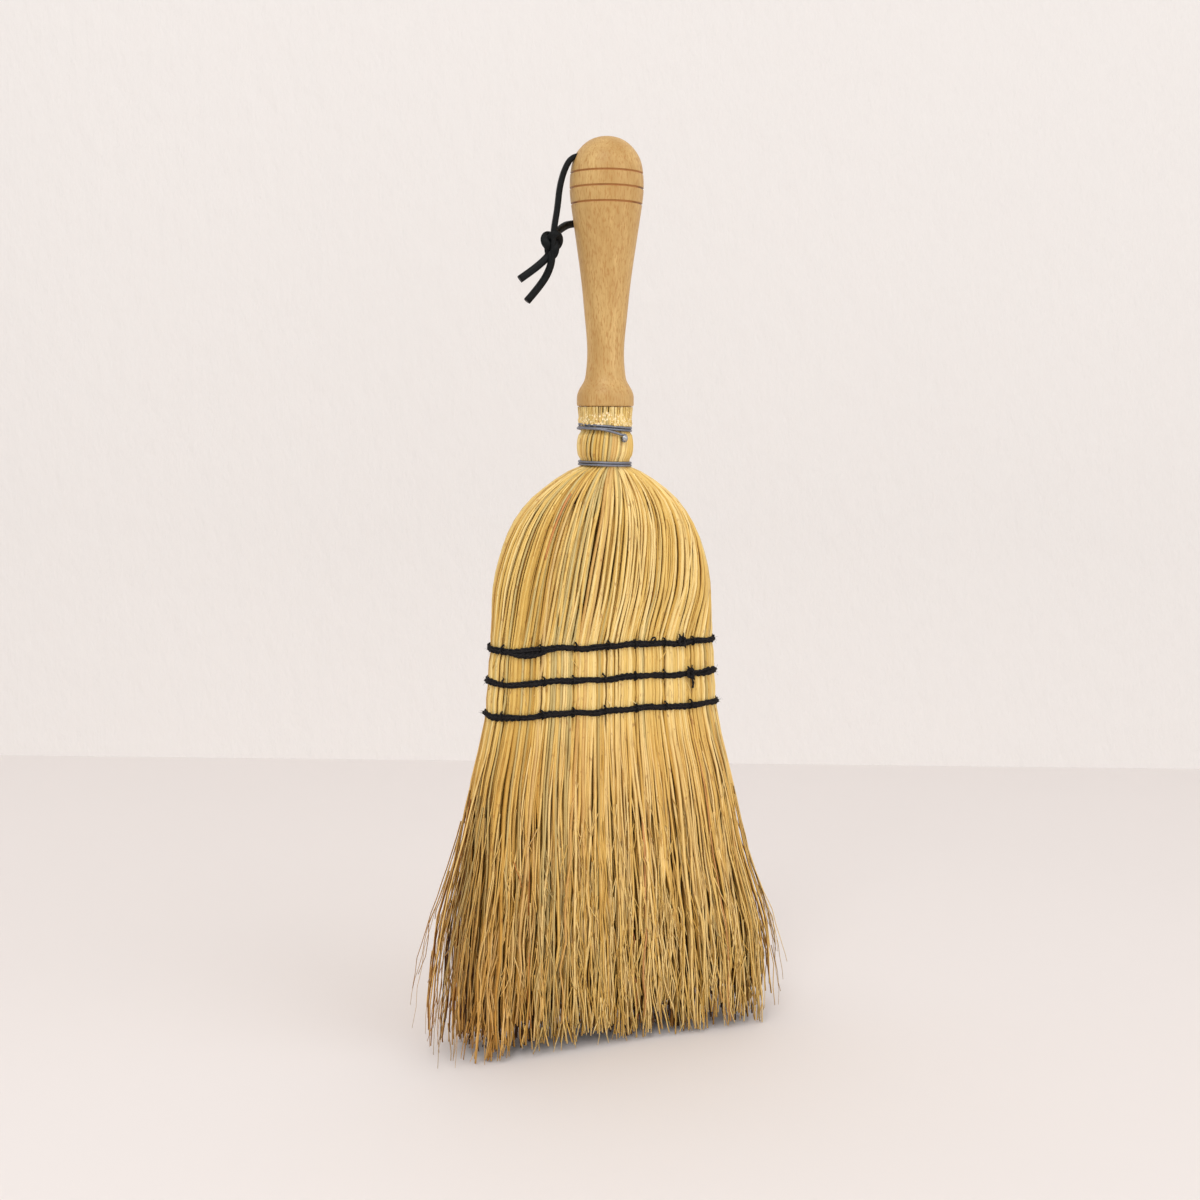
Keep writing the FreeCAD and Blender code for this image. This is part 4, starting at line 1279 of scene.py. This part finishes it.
def lace(name, line, outward, turn, settings, material, wider=1.0):
    """A flat thong along a line, as one piece."""
    count = len(line)
    wide = np.full((1, count), settings.half_width * wider)
    thick = np.full((1, count), settings.half_thickness)
    rings = sweep(line[None], outward[None], wide, thick, LACE_SIDES, square=0.5, turn=np.asarray(turn)[None])
    bundle = Bundle()
    bundle.add(Pattern(LACE_SIDES, count), rings, 0.5, 0.5, np.linspace(0, 1, count)[None])
    return bundle.piece(name, material)


class TieThong(bpy.types.Operator):
    """Tie the leather thong through the cross hole"""

    bl_idname = "broom.tie_thong"
    bl_label = "Tie thong"

    def execute(self, context):
        settings = context.scene.broom_thong
        material = leather(settings)
        knot = self.knot(settings, material, context.scene.broom_stage.azimuth)
        for name, route, nodes, twist, pieces in (
            ("thong_left", LEFT_ROUTE, ("thong_left_strand", "thong_in_hole"), 0.5, [knot]),
            ("thong_back", BACK_ROUTE, ("thong_back_strand",), 1.35, []),
        ):
            line = route_line(name, route, settings.hole_height, settings.turn)
            share = np.linspace(0, 1, len(line))
            way = carried(line, (0, 0, 1))
            if name == "thong_back":
                flat = unit(line * np.array([1, 1, 0]))
                hug = ease(share, 0.10, 0.18)[:, None]
                way = way * (1 - hug) + flat * hug
            piece = lace(name, line, way, twist * ease(share, 0.62, 0.90), settings, material)
            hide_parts(*nodes)
            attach(piece, "hanging_loop")
        return {"FINISHED"}

    def knot(self, settings, material, azimuth):
        """An overhand knot round both strands, a trefoil drawn tight that faces the camera."""
        right, front = np.array(camera_ways(azimuth))
        middle = turned(np.array([-KNOT_OUT, 0, settings.hole_height - KNOT_DROP]), settings.turn)
        turn = np.linspace(0, TURN, 73)[:, None]
        across = np.sin(turn) + 2 * np.sin(2 * turn)
        rise = np.cos(turn) - 2 * np.cos(2 * turn)
        near = -np.sin(3 * turn)
        places = middle + MM * (
            KNOT_WIDE * across * right + KNOT_TALL * rise * np.array([0, 0, 1.0])
            + KNOT_DEEP * near * front)
        way = np.broadcast_to(front, places.shape)
        piece = lace("thong_knot_turns", places, way, np.zeros(len(turn)), settings, material, wider=1.15)
        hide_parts("thong_knot")
        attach(piece, "hanging_loop")
        return piece


# Handle and stage

# Side of the floor and the wall, the height above the floor over which the wall's painted shade sets in, and
# where the lights aim.
ROOM_SIZE, WALL_FOOT, AIM_HEIGHT = 8, 0.2, 0.18


class FinishHandle(bpy.types.Operator):
    """Give the turned handle its wood"""

    bl_idname = "broom.finish_handle"
    bl_label = "Finish handle"

    def execute(self, context):
        finish_node("handle", beech(context.scene.broom_wood))
        return {"FINISHED"}


class SetStage(bpy.types.Operator):
    """Set the camera, the lights, the floor and the wall"""

    bl_idname = "broom.set_stage"
    bl_label = "Set stage"

    def execute(self, context):
        settings = context.scene.broom_stage
        right, toward = (Vector(way) for way in camera_ways(settings.azimuth))
        self.camera(context, settings, toward)
        self.room(settings, toward)
        self.lights(context, settings, right, toward)
        context.scene.view_settings.view_transform = "Standard"
        return {"FINISHED"}

    def camera(self, context, settings, toward):
        lens = bpy.data.cameras.new("photo_camera")
        lens.lens, lens.sensor_width = settings.lens, 36
        lens.clip_start, lens.clip_end = 0.01, 50
        camera = bpy.data.objects.new("photo_camera", lens)
        context.scene.collection.objects.link(camera)
        place = toward * settings.camera_distance
        place.z = settings.camera_height
        turn = (
            Matrix.Rotation(settings.azimuth + settings.aim, 4, "Z")
            @ Matrix.Rotation(math.pi / 2 - settings.pitch, 4, "X")
            @ Matrix.Rotation(settings.roll, 4, "Z")
        )
        camera.matrix_world = Matrix.Translation(place) @ turn
        context.scene.camera = camera

    def room(self, settings, toward):
        for name, tint, rough in (("floor", settings.floor, 0.7), ("wall", settings.wall, 0.85)):
            material, tree, shader = new_material(name, rough, specular=0.15)
            place = object_place(tree)
            cloud = span(tree, noise(tree, place, 3.0, 2), 0.3, 0.7, 0.0, 0.25)
            paint = mix(tree, cloud, tint, [0.965 * part for part in tint])
            sides = axes(tree, place)
            # Painted shade: the floor and the wall darker towards their +X side, to the right.
            paint = mix(tree, span(tree, sides["X"], -0.45, 0.45), paint, (0.955, 0.955, 0.955), "MULTIPLY")
            if name == "wall":
                # Painted shade: the wall is darker above its foot.
                foot = span(tree, sides["Y"], -ROOM_SIZE / 2, -ROOM_SIZE / 2 + WALL_FOOT)
                paint = mix(tree, foot, paint, (0.95, 0.95, 0.95), "MULTIPLY")
            tree.links.new(paint, shader.inputs["Base Color"])
            relief = noise(tree, stretched(tree, place, (1, 0.45, 1)), 70, 4)
            bump(tree, shader, relief, strength=0.05 if name == "floor" else 0.8, distance=0.002)
            bpy.ops.object.select_all(action="DESELECT")
            bpy.ops.mesh.primitive_plane_add(size=ROOM_SIZE)
            plane = bpy.context.active_object
            plane.name = name
            if name == "wall":
                plane.rotation_euler = (math.pi / 2, 0, settings.azimuth + settings.wall_turn)
                plane.location = Vector((0, 0, ROOM_SIZE / 2)) - toward * settings.wall_distance
            plane.data.materials.append(material)

    def lights(self, context, settings, right, toward):
        world = bpy.data.worlds.new("room_light")
        context.scene.world = world
        world.use_nodes = True
        back = world.node_tree.nodes["Background"]
        back.inputs["Color"].default_value = (1.0, 1.0, 1.0, 1)
        back.inputs["Strength"].default_value = settings.world
        for name, power, size, side, height, near in (
            ("key", settings.key, 1.1, -0.30, 1.9, 1.4),
            ("fill", settings.fill, 1.8, 1.5, 0.9, 1.1),
        ):
            light = bpy.data.lights.new(name, "AREA")
            light.shape, light.size, light.energy = "DISK", size, power
            lamp = bpy.data.objects.new(name, light)
            context.scene.collection.objects.link(lamp)
            lamp.location = right * side + toward * near + Vector((0, 0, height))
            aim = Vector((0, 0, AIM_HEIGHT)) - lamp.location
            lamp.rotation_euler = aim.to_track_quat("-Z", "Y").to_euler()


class BroomPanel(bpy.types.Panel):
    """Steps of the broom's looks"""

    bl_idname = "VIEW3D_PT_broom"
    bl_label = "Hand broom"
    bl_space_type = "VIEW_3D"
    bl_region_type = "UI"
    bl_category = "Broom"

    def draw(self, context):
        for step in STEPS:
            self.layout.operator(step.bl_idname)


SETTINGS = {
    "broom_wood": WoodSettings,
    "broom_straw": StrawSettings,
    "broom_twine": TwineSettings,
    "broom_wire": WireSettings,
    "broom_thong": ThongSettings,
    "broom_stage": StageSettings,
}
STEPS = (SetStage, TieThong, FinishHandle, WindWires, LayStraw, SewRows)


def register():
    for kind in (*SETTINGS.values(), *STEPS, BroomPanel):
        bpy.utils.register_class(kind)
    for name, kind in SETTINGS.items():
        setattr(bpy.types.Scene, name, PointerProperty(type=kind))


def unregister():
    for name in SETTINGS:
        delattr(bpy.types.Scene, name)
    for kind in (BroomPanel, *reversed(STEPS), *SETTINGS.values()):
        bpy.utils.unregister_class(kind)


def main():
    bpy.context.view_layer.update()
    register()
    bpy.ops.broom.set_stage()
    bpy.ops.broom.tie_thong()
    bpy.ops.broom.finish_handle()
    bpy.ops.broom.wind_wires()
    bpy.ops.broom.lay_straw()
    bpy.ops.broom.sew_rows()


if __name__ == "__main__":
    main()
